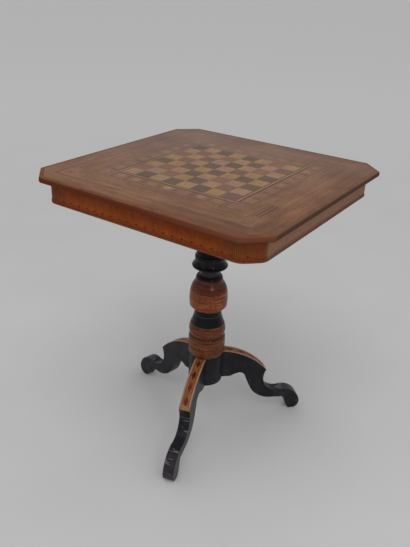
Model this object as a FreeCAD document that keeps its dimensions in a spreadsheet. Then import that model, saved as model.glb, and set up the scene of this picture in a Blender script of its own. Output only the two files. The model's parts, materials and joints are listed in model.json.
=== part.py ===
"""Pedestal game table: a tilting chessboard top on a turned column with three scrolled legs.

Frame: origin on the floor under the column, +Z up, the front of the top towards -Y.
"""
import FreeCAD, Part
import math
import os

import Sketcher
from FreeCAD import Placement, Rotation, Vector

# Driving sizes in millimetres
SIZES = [
    # the whole table
    ("total_height", 700.0),
    ("corner_cut", 48.0),
    # ground board and its lipping
    ("board_thickness", 14.0),
    ("veneer_thickness", 1.0),
    ("moulding_width", 10.0),
    ("nose_top_radius", 4.5),
    ("nose_bottom_radius", 7.0),
    # chessboard and its borders from the middle out, each the width of a strip
    ("square_size", 36.5),
    ("dark_line", 2.0),
    ("light_line", 6.5),
    ("mosaic_width", 29.0),
    ("field_width", 25.0),
    ("band_width", 27.0),
    ("edge_line_width", 2.0),
    ("side_margin", 56.5),
    ("front_margin", 52.5),
    ("lozenge_length", 24.0),
    ("lozenge_width", 17.0),
    # frieze under the top
    ("frieze_inset", 23.0),
    ("frieze_bend", 28.0),
    ("frieze_height", 48.0),
    ("rail_thickness", 12.0),
    ("bead_height", 4.0),
    ("bead_proud", 1.2),
    ("bead_radius", 1.4),
    ("glue_block_side", 18.0),
    ("glue_block_length", 64.0),
    # bearers, block and pins of the tilting joint
    ("block_width", 180.0),
    ("block_reach", 95.0),
    ("block_thickness", 24.0),
    ("block_chamfer", 4.0),
    ("pivot_offset", 85.0),
    ("pivot_drop", 12.0),
    ("pivot_gap", 0.3),
    ("pivot_land", 6.0),
    ("pin_radius", 5.0),
    ("pin_in_block", 30.0),
    ("pin_end_gap", 1.0),
    ("pin_clearance", 0.08),
    ("bearer_end_gap", 29.0),
    ("bearer_thickness", 30.0),
    ("bearer_height", 24.0),
    ("bearer_taper", 40.0),
    ("bearer_gap", 0.5),
    # screws
    ("screw_radius", 2.2),
    ("screw_head_radius", 4.6),
    ("screw_bite", 9.0),
    ("screw_gap", 0.1),
    ("screw_slot_width", 0.9),
    ("screw_slot_depth", 1.1),
    # turn button and the batten that carries it
    ("batten_width", 36.0),
    ("batten_end_gap", 15.0),
    ("batten_gap", 2.0),
    ("button_gap", 0.4),
    ("button_play", 0.3),
    ("button_thickness", 8.0),
    ("button_width", 20.0),
    ("button_long_arm", 36.0),
    ("button_short_arm", 16.0),
    ("button_edge", 1.5),
    ("button_screw_radius", 3.0),
    ("button_screw_head", 6.5),
    ("button_screw_dome", 3.2),
    ("button_screw_bite", 15.0),
    # turned column, from the hub up
    ("hub_radius", 44.5),
    ("pendant_height", 8.0),
    ("lower_drum_radius", 47.6),
    ("waist_radius", 42.6),
    ("upper_drum_radius", 48.1),
    ("capital_radius", 44.0),
    ("shaft_radius", 36.0),
    ("tenon_radius", 12.0),
    ("tenon_length", 24.0),
    ("head_tenon_radius", 16.0),
    ("head_tenon_short", 0.5),
    ("joint_gap", 0.1),
    ("tenon_end_gap", 1.0),
    ("wedge_depth", 16.0),
    ("wedge_top", 3.4),
    ("wedge_bottom", 1.4),
    ("wedge_margin", 2.5),
    # legs
    ("leg_thickness", 27.5),
    ("leg_reach", 272.0),
    ("leg_top_gap", 0.4),
    ("leg_seat_depth", 3.5),
    ("crest_flat", 11.0),
    ("dovetail_depth", 13.0),
    ("dovetail_neck", 12.0),
    ("dovetail_root", 18.0),
    ("dovetail_drop", 11.0),
]

# Counts and angles, in degrees
BOARD_SQUARES = 8
LOZENGES_PER_SIDE = 8
FRONT_LEG_ANGLE = -73.2
LEG_NAMES = ("front", "right", "left")
LEG_STEP_ANGLE = 120.0
CREST_START_ANGLE = 78.6
TIP_START_ANGLE = 41.3
NOSE_ANGLE = 37.8
QUARTER_TURN_ANGLE = 90.0

# The turn from a long side to a canted one, shared by the two pieces that meet there
BEND_ANGLE = 45.0

# A canted side moves in by one when its ends move along the long sides by this much
CANT_SHARE = 2.0 - math.sqrt(2.0)
HALF_TURN_SHARE = math.sqrt(0.5)

# Heights of the turned pieces as shares of the column above the hub; its head takes the rest
LOWER_DRUM_HEIGHT_SHARE = 0.2011
WAIST_HEIGHT_SHARE = 0.0965
UPPER_DRUM_HEIGHT_SHARE = 0.1831
CAPITAL_HEIGHT_SHARE = 0.1531

# Height of a leg as a share of its reach, and the height of the hub as a share of the leg's
LEG_RISE_SHARE = 0.7721
HUB_HEIGHT_SHARE = 0.3995

# Radius of a leg's round crest as a share of how far the leg stands out from its seat
CREST_RADIUS_SHARE = 0.843

# Places of screws and blocks along the piece that carries them
BEARER_SCREW_SHARES = (-0.36, -0.27, 0.08, 0.36)
BATTEN_SCREW_SHARES = (-0.36, 0.36)
GLUE_BLOCK_SHARES = (-0.62, 0.62)
BEARER_END_SHARE = 0.45

# How far the flat of the round screw head reaches, as a share of its radius
HEAD_FLAT_SHARE = 0.55

# Points closer than this, in millimetres, are the same point
TOUCHING = 0.001

SIDES = ("front", "right", "back", "left")
CORNERS = ("front_right", "back_right", "back_left", "front_left")
INWARD_ANGLES = {"front": 90.0, "right": 180.0, "back": 270.0, "left": 0.0}

doc = FreeCAD.newDocument("pedestal_game_table")
nodes = []


class Size:
    """A size that keeps its number together with the sheet formula behind it."""

    def __init__(self, number, formula):
        self.number = float(number)
        self.formula = formula

    def __add__(self, other):
        other = as_size(other)
        return Size(self.number + other.number, f"({self.formula} + {other.formula})")

    def __sub__(self, other):
        other = as_size(other)
        return Size(self.number - other.number, f"({self.formula} - {other.formula})")

    def __mul__(self, share):
        return Size(self.number * share, f"({self.formula} * ({share:.9f}))")

    def __truediv__(self, count):
        return Size(self.number / count, f"({self.formula} / {count})")

    def __neg__(self):
        return Size(-self.number, f"(0 - {self.formula})")


def as_size(value):
    """Lets a plain zero stand in for a size."""
    return value if isinstance(value, Size) else Size(value, str(value))


class Sheet:
    """The table of driving sizes, read by name."""

    def __init__(self, rows):
        self.sheet = doc.addObject("Spreadsheet::Sheet", "sizes")
        for row, (name, value) in enumerate(rows, start=1):
            self.sheet.set(f"A{row}", name)
            self.sheet.set(f"B{row}", str(value))
            self.sheet.setAlias(f"B{row}", name)
        doc.recompute()

    def __getattr__(self, name):
        return Size(self.sheet.get(name), f"sizes.{name}")


s = Sheet(SIZES)
ZERO = as_size(0)


# Sizes that follow from the driving ones

top_thickness = s.board_thickness + s.veneer_thickness
underside = s.total_height - top_thickness
board_half = s.square_size * (BOARD_SQUARES / 2)
border_width = s.dark_line * 3 + s.light_line + s.mosaic_width
border_half = board_half + border_width
band_inner = border_half + s.field_width
band_outer = band_inner + s.band_width
margin_inner = band_outer + s.edge_line_width
top_width = (margin_inner + s.side_margin) * 2
top_depth = (margin_inner + s.front_margin) * 2
rail_inset = s.frieze_inset + s.veneer_thickness
rail_inner_inset = rail_inset + s.rail_thickness
frieze_bottom = underside - s.frieze_height
rail_bottom = frieze_bottom + s.bead_height
rail_height = s.frieze_height - s.bead_height
bearer_middle = s.block_width / 2 + s.bearer_gap + s.bearer_thickness / 2
bearer_length = top_width - (rail_inner_inset + s.glue_block_side + s.bearer_end_gap) * 2
batten_length = s.block_width - s.batten_end_gap * 2
batten_thickness = s.block_thickness + s.button_gap
batten_middle = s.block_reach + s.batten_gap + s.batten_width / 2
screw_head_height = s.screw_head_radius - s.screw_radius
leg_rise = s.leg_reach * LEG_RISE_SHARE
lower_drum_base = leg_rise + s.leg_top_gap
hub_height = leg_rise * HUB_HEIGHT_SHARE
hub_base = lower_drum_base - hub_height
column_height = underside - s.block_thickness - lower_drum_base
lower_drum_height = column_height * LOWER_DRUM_HEIGHT_SHARE
waist_height = column_height * WAIST_HEIGHT_SHARE
upper_drum_height = column_height * UPPER_DRUM_HEIGHT_SHARE
capital_height = column_height * CAPITAL_HEIGHT_SHARE
waist_base = lower_drum_base + lower_drum_height
upper_drum_base = waist_base + waist_height
capital_base = upper_drum_base + upper_drum_height
shaft_base = capital_base + capital_height
shaft_height = underside - s.block_thickness - shaft_base
leg_seat = s.hub_radius - s.leg_seat_depth
crest_radius = (s.leg_reach - leg_seat) * CREST_RADIUS_SHARE
mortise_radius = s.tenon_radius + s.joint_gap
mortise_depth = s.tenon_length + s.tenon_end_gap


# Helpers for sketches and features

def bind(thing, path, size):
    """Ties a property to its formula in the sheet."""
    thing.setExpression(path, size.formula)


def vector(point):
    return Vector(point[0].number, point[1].number, 0)


def pin_point(sketch, shape, end, point):
    """Fixes one point of a sketch by its distances from the origin."""
    for kind, size in zip(("DistanceX", "DistanceY"), point):
        index = sketch.addConstraint(Sketcher.Constraint(kind, -1, 1, shape, end, size.number))
        bind(sketch, f"Constraints[{index}]", size)


def arc_through(start, middle, end):
    """An arc through three points, and whether it runs anticlockwise from start to end."""
    centre = Part.Circle(start, middle, end).Center
    radius = (start - centre).Length
    first, mid, last = (math.atan2(p.y - centre.y, p.x - centre.x) for p in (start, middle, end))
    full = 2.0 * math.pi
    forward = (mid - first) % full < (last - first) % full
    low, high = (first, last) if forward else (last, first)
    if high < low:
        high += full
    circle = Part.Circle(centre, Vector(0, 0, 1), radius)
    return Part.ArcOfCircle(circle, low, high), forward


def draw_edge(sketch, start, step):
    """Draws a line, or an arc when the step also gives a point on the way."""
    if len(step) == 1:
        line = sketch.addGeometry(Part.LineSegment(vector(start), vector(step[0])), False)
        return line, 1, 2
    arc, forward = arc_through(vector(start), vector(step[0]), vector(step[1]))
    shape = sketch.addGeometry(arc, False)
    on_arc = sketch.addGeometry(Part.Point(vector(step[0])), True)
    pin_point(sketch, on_arc, 1, step[0])
    sketch.addConstraint(Sketcher.Constraint("PointOnObject", on_arc, 1, shape))
    return (shape, 1, 2) if forward else (shape, 2, 1)


def outline(sketch, start, steps):
    """Draws a closed outline: each step is (end,) for a line or (middle, end) for an arc."""
    corners = [start] + [step[-1] for step in steps]
    edges = [draw_edge(sketch, corner, step) for corner, step in zip(corners, steps)]
    for number, (shape, first, _) in enumerate(edges):
        before, _, last = edges[number - 1]
        sketch.addConstraint(Sketcher.Constraint("Coincident", before, last, shape, first))
        pin_point(sketch, shape, first, corners[number])


def polygon(sketch, corners):
    """Draws a closed outline of straight lines."""
    outline(sketch, corners[0], [(corner,) for corner in corners[1:]] + [(corners[0],)])


def rectangle(sketch, half_across, half_along):
    """Draws a rectangle round the origin."""
    polygon(sketch, [(-half_across, -half_along), (half_across, -half_along),
                     (half_across, half_along), (-half_across, half_along)])


def circle(sketch, centre, radius):
    """Draws a circle fixed at a point."""
    drawn = Part.Circle(vector(centre), Vector(0, 0, 1), radius.number)
    shape = sketch.addGeometry(drawn, False)
    pin_point(sketch, shape, 3, centre)
    index = sketch.addConstraint(Sketcher.Constraint("Radius", shape, radius.number))
    bind(sketch, f"Constraints[{index}]", radius)


def new_body(label):
    body = doc.addObject("PartDesign::Body", label)
    body.Label = label
    return body


def origin_part(body, role):
    """One of a body's own origin planes or axes."""
    return next(part for part in body.Origin.OriginFeatures if part.Role == role)


def new_sketch(body, role, offset=None):
    """A sketch on one of the body's origin planes, moved along its normal by the offset."""
    sketch = body.newObject("Sketcher::SketchObject", f"{body.Label}_sketch")
    sketch.AttachmentSupport = [(origin_part(body, role), "")]
    sketch.MapMode = "FlatFace"
    if offset is not None:
        bind(sketch, "AttachmentOffset.Base.z", offset)
    return sketch


def pad(body, sketch, length, both_ways=False, reverse=False):
    """Pushes a sketch out into a solid."""
    feature = body.newObject("PartDesign::Pad", f"{body.Label}_pad")
    feature.Profile = sketch
    bind(feature, "Length", length)
    feature.SideType = "Symmetric" if both_ways else "One side"
    feature.Reversed = reverse
    return feature


def pocket(body, sketch, length, both_ways=False, reverse=False):
    """Cuts a sketch into the solid and makes sure that something was cut."""
    doc.recompute()
    before = body.Shape.Volume
    feature = body.newObject("PartDesign::Pocket", f"{body.Label}_pocket")
    feature.Profile = sketch
    bind(feature, "Length", length)
    feature.SideType = "Symmetric" if both_ways else "One side"
    feature.Reversed = reverse
    doc.recompute()
    if body.Shape.Volume >= before:
        raise RuntimeError(f"{body.Label}: a pocket cuts nothing")
    return feature


def revolve(body, sketch):
    """Turns a sketch on the XZ plane about the vertical axis."""
    feature = body.newObject("PartDesign::Revolution", f"{body.Label}_turning")
    feature.Profile = sketch
    feature.ReferenceAxis = (sketch, ["V_Axis"])
    feature.Angle = 360.0
    return feature


def polar_pattern(body, features, count):
    """Repeats features round the body's vertical axis."""
    pattern = body.newObject("PartDesign::PolarPattern", f"{body.Label}_pattern")
    pattern.Originals = features
    pattern.Axis = (origin_part(body, "Z_Axis"), [""])
    pattern.Angle = 360.0
    pattern.Occurrences = count
    body.Tip = pattern
    return pattern


def line_pattern(body, features, length, count):
    """Repeats features along the body's X axis over a length."""
    pattern = body.newObject("PartDesign::LinearPattern", f"{body.Label}_pattern")
    pattern.Originals = features
    pattern.Direction = (origin_part(body, "X_Axis"), [""])
    bind(pattern, "Length", length)
    pattern.Occurrences = count
    body.Tip = pattern
    return pattern


def mirror(body, feature, role):
    """Repeats a feature on the other side of an origin plane."""
    twin = body.newObject("PartDesign::Mirrored", f"{body.Label}_mirrored")
    twin.Originals = [feature]
    twin.MirrorPlane = (origin_part(body, role), [""])
    body.Tip = twin
    return twin


def place(thing, across=ZERO, along=ZERO, height=ZERO, turn=0.0):
    """Puts a piece at its place, turned about the vertical axis."""
    base = Vector(across.number, along.number, height.number)
    thing.Placement = Placement(base, Rotation(Vector(0, 0, 1), turn))
    for axis, size in zip("xyz", (across, along, height)):
        bind(thing, f".Placement.Base.{axis}", size)


def edges_where(feature, test):
    """Names of the edges whose end points all pass a test."""
    doc.recompute()
    names = []
    for number, edge in enumerate(feature.Shape.Edges, start=1):
        if all(test(vertex.Point) for vertex in edge.Vertexes):
            names.append(f"Edge{number}")
    if not names:
        raise RuntimeError(f"{feature.Label}: no edge found to dress")
    return names


def dress(body, kind, base, edges, size):
    """Adds a fillet or a chamfer to some edges of a feature."""
    feature = body.newObject(f"PartDesign::{kind}", f"{body.Label}_{kind.lower()}")
    feature.Base = (base, edges)
    bind(feature, "Radius" if kind == "Fillet" else "Size", size)
    return feature


def keep(node):
    """Marks an object as one named piece of the table."""
    nodes.append(node)
    return node


def group(label, members):
    """Joins like pieces into one named group without fusing them."""
    compound = doc.addObject("Part::Compound", label)
    compound.Label = label
    compound.Links = members
    return keep(compound)


# Plan of the top: long sides, canted corners and the rings between them

def on_side(side, along, out):
    """Turns a place along a side, and out from the middle, into x and y."""
    if side == "front":
        return along, -out
    if side == "right":
        return out, along
    if side == "back":
        return -along, out
    return -out, -along


def side_ends(side, inset):
    """The two ends of a long side of the canted outline, moved in by an inset."""
    halves = (top_width / 2 - inset, top_depth / 2 - inset)
    run, out = halves if side in ("front", "back") else halves[::-1]
    half_run = run - cut_at(inset)
    return on_side(side, -half_run, out), on_side(side, half_run, out)


def cut_at(inset):
    """How far the canted corner runs along a side, at an inset."""
    return s.corner_cut - inset * CANT_SHARE


def ends_at(name, inset):
    """The two ends of any of the eight sides of the outline."""
    if name in SIDES:
        return side_ends(name, inset)
    before = SIDES[CORNERS.index(name)]
    after = SIDES[(CORNERS.index(name) + 1) % len(SIDES)]
    return side_ends(before, inset)[1], side_ends(after, inset)[0]


def octagon(inset):
    """All eight corners of the outline, anticlockwise."""
    return [corner for side in SIDES for corner in side_ends(side, inset)]


def prism(label, corners, base, height):
    """An upright prism on a polygon."""
    body = new_body(label)
    sketch = new_sketch(body, "XY_Plane")
    polygon(sketch, corners)
    body_pad = pad(body, sketch, height)
    place(body, height=base)
    return body, body_pad


def ring_piece(label, name, outer, inner, base, height):
    """One mitred piece of a ring that follows the canted outline."""
    first, second = ends_at(name, outer)
    fourth, third = ends_at(name, inner)
    return prism(label, [first, second, third, fourth], base, height)


def long_edge(feature, name, inset, height):
    """The edge of a ring piece that runs along its outer face at a height."""
    return edges_between(feature, ends_at(name, inset), height)


def edges_between(feature, points, height):
    """The edges that run between some of these points at a height."""
    ends = [vector(point) + Vector(0, 0, height.number) for point in points]
    return edges_where(feature, lambda p: any((p - end).Length < TOUCHING for end in ends))


def side_directions(name):
    """The direction along a side of the outline and the direction out of it."""
    number = SIDES.index(name) if name in SIDES else CORNERS.index(name) + 0.5
    turn = math.radians(QUARTER_TURN_ANGLE * number)
    return (math.cos(turn), math.sin(turn)), (math.sin(turn), -math.cos(turn))


def bend(name, inset, end, radius):
    """Half of the rounded bend at one end of a side: where it starts, its middle and its end."""
    along, out = side_directions(name)
    corner = ends_at(name, inset)[end]
    back = 1.0 if end == 0 else -1.0
    half = math.radians(BEND_ANGLE / 2)
    points = []
    for turn in (0.0, half / 2, half):
        slide = (math.tan(half) - math.sin(turn)) * back
        sink = 1.0 - math.cos(turn)
        points.append(tuple(corner[axis] + radius * (along[axis] * slide - out[axis] * sink)
                            for axis in (0, 1)))
    return points


def bent_piece(label, name, outer, inner, base, height, bent_inside=False):
    """A mitred piece of a ring whose outer face, or both its faces, bend round at the ends."""
    radius = s.frieze_bend + s.frieze_inset - outer
    start, start_middle, start_end = bend(name, outer, 0, radius)
    finish, finish_middle, finish_end = bend(name, outer, 1, radius)
    steps = [(start_middle, start), (finish,), (finish_middle, finish_end)]
    if bent_inside:
        radius = s.frieze_bend + s.frieze_inset - inner
        last, last_middle, last_end = bend(name, inner, 1, radius)
        first, first_middle, first_end = bend(name, inner, 0, radius)
        steps += [(last_end,), (last_middle, last), (first,), (first_middle, first_end)]
    else:
        first, last = ends_at(name, inner)
        steps += [(last,), (first,)]
    body = new_body(label)
    sketch = new_sketch(body, "XY_Plane")
    outline(sketch, start_end, steps + [(start_end,)])
    body_pad = pad(body, sketch, height)
    place(body, height=base)
    return body, body_pad, (start_end, start, finish, finish_end)


# The top board, its lipping and its veneers

def make_top_board():
    body, board_pad = prism("top_board", octagon(s.moulding_width), underside, s.board_thickness)
    pilot = new_sketch(body, "XY_Plane")
    for across, along in screw_places():
        circle(pilot, (across, along), s.screw_radius + s.screw_gap)
    pocket(body, pilot, s.screw_bite + s.screw_gap, reverse=True)
    keep(body)


def screw_places():
    """Where the screws of the bearers and of the batten enter the board."""
    places = []
    for share in BEARER_SCREW_SHARES:
        for along in (-bearer_middle, bearer_middle):
            places.append((bearer_length * share, along))
    for share in BATTEN_SCREW_SHARES:
        places.append((-batten_middle, batten_length * share))
    return places


def make_mouldings():
    for name in SIDES + CORNERS:
        prefix = "edge_moulding" if name in SIDES else "corner_moulding"
        body, base = ring_piece(f"{prefix}_{name}", name, ZERO, s.moulding_width, underside, top_thickness)
        doc.recompute()
        lower = long_edge(base, name, ZERO, ZERO)
        nose = dress(body, "Fillet", base, lower, s.nose_bottom_radius)
        doc.recompute()
        upper = long_edge(nose, name, ZERO, top_thickness)
        dress(body, "Fillet", nose, upper, s.nose_top_radius)
        keep(body)


def make_squares():
    """The 64 squares of the board, light and dark by turns."""
    groups = {"light_squares": [], "dark_squares": []}
    for column in range(BOARD_SQUARES):
        for row in range(BOARD_SQUARES):
            label = "dark_squares" if (column + row) % 2 else "light_squares"
            square = doc.addObject("Part::Box", f"{label}_{column}_{row}")
            for path, size in (("Length", s.square_size), ("Width", s.square_size),
                               ("Height", s.veneer_thickness)):
                bind(square, path, size)
            place(square, s.square_size * column - board_half, s.square_size * row - board_half,
                  s.total_height - s.veneer_thickness)
            groups[label].append(square)
    for label, squares in groups.items():
        group(label, squares)


def veneer(label, corners):
    """One flat piece of veneer, level with the playing surface."""
    body, _ = prism(label, corners, s.total_height - s.veneer_thickness, s.veneer_thickness)
    return body


def border_strip(label, side, start, width):
    """A strip of the border: each side runs past its neighbour at one end, like a pinwheel."""
    near, far = board_half + start, board_half + start + width
    left, right = -board_half, border_half
    corners = [on_side(side, left, near), on_side(side, right, near),
               on_side(side, right, far), on_side(side, left, far)]
    return veneer(label, corners)


def make_border():
    light_start = s.dark_line
    second_start = light_start + s.light_line
    mosaic_start = second_start + s.dark_line
    third_start = mosaic_start + s.mosaic_width
    light, dark = [], []
    for side in SIDES:
        light.append(border_strip(f"light_stringing_{side}", side, light_start, s.light_line))
        for number, start in enumerate((ZERO, second_start, third_start)):
            dark.append(border_strip(f"dark_stringing_{side}_{number}", side, start, s.dark_line))
    group("light_stringing", light)
    group("dark_stringing", dark)
    make_mosaic(mosaic_start)


def lozenge(sketch, start, middle):
    """A diamond with its long diagonal along X, starting at a place along the strip."""
    half_long, half_wide = s.lozenge_length / 2, s.lozenge_width / 2
    polygon(sketch, [(start, middle), (start + half_long, middle - half_wide),
                     (start + half_long * 2, middle), (start + half_long, middle + half_wide)])


def make_mosaic(start):
    """The mosaic strips, and the lozenges let into them, made once and turned to each side."""
    length = border_half + board_half
    pitch = length / LOZENGES_PER_SIDE
    first = (pitch - s.lozenge_length) / 2
    reach = pitch * (LOZENGES_PER_SIDE - 1)
    grounds, lozenges = [], []
    for number, side in enumerate(SIDES):
        body = new_body(f"mosaic_ground_{side}")
        strip = new_sketch(body, "XY_Plane")
        polygon(strip, [(ZERO, ZERO), (length, ZERO), (length, s.mosaic_width), (ZERO, s.mosaic_width)])
        pad(body, strip, s.veneer_thickness)
        hole = new_sketch(body, "XY_Plane")
        lozenge(hole, first, s.mosaic_width / 2)
        cut = pocket(body, hole, s.veneer_thickness, reverse=True)
        line_pattern(body, [cut], reach, LOZENGES_PER_SIDE)
        inlay = new_body(f"mosaic_lozenges_{side}")
        shape = new_sketch(inlay, "XY_Plane")
        lozenge(shape, first, s.mosaic_width / 2)
        one = pad(inlay, shape, s.veneer_thickness)
        line_pattern(inlay, [one], reach, LOZENGES_PER_SIDE)
        corner = on_side(side, -board_half, board_half + start + s.mosaic_width)
        for piece in (body, inlay):
            place(piece, corner[0], corner[1], s.total_height - s.veneer_thickness,
                  QUARTER_TURN_ANGLE * number)
        grounds.append(body)
        lozenges.append(inlay)
    group("mosaic_ground", grounds)
    group("mosaic_lozenges", lozenges)


def mitred_strip(label, side, near, far):
    """A strip of a square frame, mitred at both ends."""
    return veneer(label, [on_side(side, -near, near), on_side(side, near, near),
                          on_side(side, far, far), on_side(side, -far, far)])


def make_field():
    field, band, corners, edge, margin = [], [], [], [], []
    for side in SIDES:
        field.append(mitred_strip(f"inner_field_{side}", side, border_half, band_inner))
        edge.append(mitred_strip(f"edge_line_{side}", side, band_outer, margin_inner))
        band.append(veneer(f"line_band_{side}", [
            on_side(side, -band_inner, band_inner), on_side(side, band_inner, band_inner),
            on_side(side, band_inner, band_outer), on_side(side, -band_inner, band_outer)]))
        corners.append(veneer(f"band_corner_{side}", [
            on_side(side, band_inner, band_inner), on_side(side, band_outer, band_inner),
            on_side(side, band_outer, band_outer), on_side(side, band_inner, band_outer)]))
        margin.append(margin_panel(side))
    group("inner_field", field)
    group("line_band", band)
    group("band_corners", corners)
    group("edge_line", edge)
    group("margin_veneer", margin)


def margin_panel(side):
    """A panel from the edge line out to the lipping, mitred through the canted corners."""
    first, second = side_ends(side, s.moulding_width)
    before = CORNERS[SIDES.index(side) - 1]
    after = CORNERS[SIDES.index(side)]
    corners = [on_side(side, -margin_inner, margin_inner), middle_of(before), first, second,
               middle_of(after), on_side(side, margin_inner, margin_inner)]
    return veneer(f"margin_veneer_{side}", corners)


def middle_of(corner):
    """The middle of a canted edge of the board."""
    first, second = ends_at(corner, s.moulding_width)
    return (first[0] + second[0]) / 2, (first[1] + second[1]) / 2


# The frieze

def make_frieze():
    veneers, beads = [], []
    for name in SIDES + CORNERS:
        label = f"frieze_{name}" if name in SIDES else f"frieze_corner_{name}"
        rail, _, _ = bent_piece(label, name, rail_inset, rail_inner_inset, rail_bottom, rail_height)
        keep(rail)
        skin, _, _ = bent_piece(f"frieze_veneer_{name}", name, s.frieze_inset, rail_inset,
                                rail_bottom, rail_height, bent_inside=True)
        veneers.append(skin)
        outer = s.frieze_inset - s.bead_proud
        bead, base, points = bent_piece(f"frieze_bead_{name}", name, outer, rail_inner_inset,
                                        frieze_bottom, s.bead_height)
        doc.recompute()
        dress(bead, "Fillet", base, edges_between(base, points, ZERO), s.bead_radius)
        beads.append(bead)
    group("frieze_veneer", veneers)
    group("frieze_bead", beads)
    make_glue_blocks()


def make_glue_blocks():
    """Triangular blocks rubbed into the angle between the rails and the board."""
    blocks = []
    for side in SIDES:
        first, second = side_ends(side, rail_inner_inset)
        for number, share in enumerate(GLUE_BLOCK_SHARES):
            body = new_body(f"glue_block_{side}_{number}")
            sketch = new_sketch(body, "XZ_Plane")
            polygon(sketch, [(ZERO, ZERO), (ZERO, -s.glue_block_side), (s.glue_block_side, ZERO)])
            pad(body, sketch, s.glue_block_length, both_ways=True)
            weights = ((1.0 - share) / 2, (1.0 + share) / 2)
            across = first[0] * weights[0] + second[0] * weights[1]
            along = first[1] * weights[0] + second[1] * weights[1]
            place(body, across, along, underside, INWARD_ANGLES[side])
            blocks.append(body)
    group("glue_blocks", blocks)


# The tilting joint

def make_block():
    body = new_body("tilt_block")
    side_view = new_sketch(body, "XZ_Plane")
    round_radius = s.pivot_drop - s.pivot_gap
    reach = s.pivot_offset + round_radius
    on_round = (s.pivot_offset + round_radius * HALF_TURN_SHARE,
                round_radius * HALF_TURN_SHARE - s.pivot_drop)
    outline(side_view, (-s.block_reach, -s.block_thickness), [
        ((reach, -s.block_thickness),),
        ((reach, -s.pivot_drop),),
        (on_round, (s.pivot_offset, -s.pivot_gap)),
        ((s.pivot_offset - s.pivot_land, ZERO),),
        ((-s.block_reach, ZERO),),
        ((-s.block_reach, -s.block_thickness),)])
    base = pad(body, side_view, s.block_width, both_ways=True)
    half_width, bottom = s.block_width.number / 2, -s.block_thickness.number
    low_edges = edges_where(base, lambda p: abs(abs(p.y) - half_width) < TOUCHING
                            and abs(p.z - bottom) < TOUCHING)
    low_edges = [name for name in low_edges
                 if abs(base.Shape.getElement(name).tangentAt(0).x) > HALF_TURN_SHARE]
    dress(body, "Chamfer", base, low_edges, s.block_chamfer)
    hole = new_sketch(body, "XY_Plane")
    circle(hole, (ZERO, ZERO), s.head_tenon_radius + s.joint_gap)
    pocket(body, hole, s.block_thickness)
    bore = new_sketch(body, "XZ_Plane", s.block_width / 2)
    circle(bore, (s.pivot_offset, -s.pivot_drop), s.pin_radius + s.joint_gap)
    drilled = pocket(body, bore, s.pin_in_block)
    mirror(body, drilled, "XZ_Plane")
    place(body, height=underside)
    keep(body)


def make_pins():
    """Two pins, fixed in the block and turning in the bearers."""
    length = s.pin_in_block + s.bearer_gap + s.bearer_thickness - s.pin_end_gap * 2
    start = s.block_width / 2 - s.pin_in_block + s.pin_end_gap
    pins = []
    for name, turn in (("front", 180.0), ("back", 0.0)):
        body = new_body(f"pivot_pin_{name}")
        sketch = new_sketch(body, "XZ_Plane")
        circle(sketch, (ZERO, ZERO), s.pin_radius)
        pad(body, sketch, length, reverse=True)
        sign = 1 if name == "back" else -1
        place(body, s.pivot_offset, start * sign, underside - s.pivot_drop, turn)
        pins.append(body)
    group("pivot_pins", pins)


def make_bearers():
    half = bearer_length / 2
    end_height = s.bearer_height * BEARER_END_SHARE
    for name, sign in (("front", -1), ("back", 1)):
        body = new_body(f"bearer_{name}")
        side_view = new_sketch(body, "XZ_Plane")
        polygon(side_view, [(-half, ZERO), (-half, -end_height),
                            (s.bearer_taper - half, -s.bearer_height),
                            (half - s.bearer_taper, -s.bearer_height),
                            (half, -end_height), (half, ZERO)])
        pad(body, side_view, s.bearer_thickness, both_ways=True)
        bore = new_sketch(body, "XZ_Plane")
        circle(bore, (s.pivot_offset, -s.pivot_drop), s.pin_radius + s.pin_clearance)
        pocket(body, bore, s.bearer_thickness, both_ways=True)
        places = [(bearer_length * share, ZERO) for share in BEARER_SCREW_SHARES]
        drill_for_screws(body, places, s.bearer_height)
        place(body, along=bearer_middle * sign, height=underside)
        keep(body)


def drill_for_screws(body, places, depth):
    """Clearance holes from the top face down, countersunk on the lower face."""
    holes = new_sketch(body, "XY_Plane")
    radius = s.screw_radius + s.screw_gap
    for centre in places:
        circle(holes, centre, radius)
    drilled = pocket(body, holes, depth)

    def on_rim(point):
        reach = min(math.hypot(point.x - a.number, point.y - b.number) for a, b in places)
        return abs(reach - radius.number) < TOUCHING and abs(point.z + depth.number) < TOUCHING
    dress(body, "Chamfer", drilled, edges_where(drilled, on_rim), screw_head_height)


def screw(label, length, across, along, base):
    """A countersunk screw, head down, with a driver slot."""
    body = new_body(label)
    profile = new_sketch(body, "XZ_Plane")
    polygon(profile, [(ZERO, ZERO), (s.screw_head_radius, ZERO), (s.screw_radius, screw_head_height),
                      (s.screw_radius, length - s.screw_radius), (ZERO, length)])
    revolve(body, profile)
    driver_slot(body, s.screw_head_radius, ZERO)
    place(body, across, along, base)
    return body


def driver_slot(body, head_radius, bottom):
    """A slot for the driver, cut up into a screw's head from its lowest level."""
    slot = new_sketch(body, "XY_Plane", bottom)
    rectangle(slot, s.screw_slot_width / 2, head_radius + s.screw_slot_depth)
    pocket(body, slot, s.screw_slot_depth, reverse=True)


def make_screws():
    bearer, batten = [], []
    for number, share in enumerate(BEARER_SCREW_SHARES):
        for name, along in (("front", -bearer_middle), ("back", bearer_middle)):
            bearer.append(screw(f"bearer_screw_{name}_{number}", s.bearer_height + s.screw_bite,
                                bearer_length * share, along, underside - s.bearer_height))
    for number, share in enumerate(BATTEN_SCREW_SHARES):
        batten.append(screw(f"batten_screw_{number}", batten_thickness + s.screw_bite,
                            -batten_middle, batten_length * share, underside - batten_thickness))
    group("bearer_screws", bearer)
    group("batten_screws", batten)


# The catch

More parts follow.
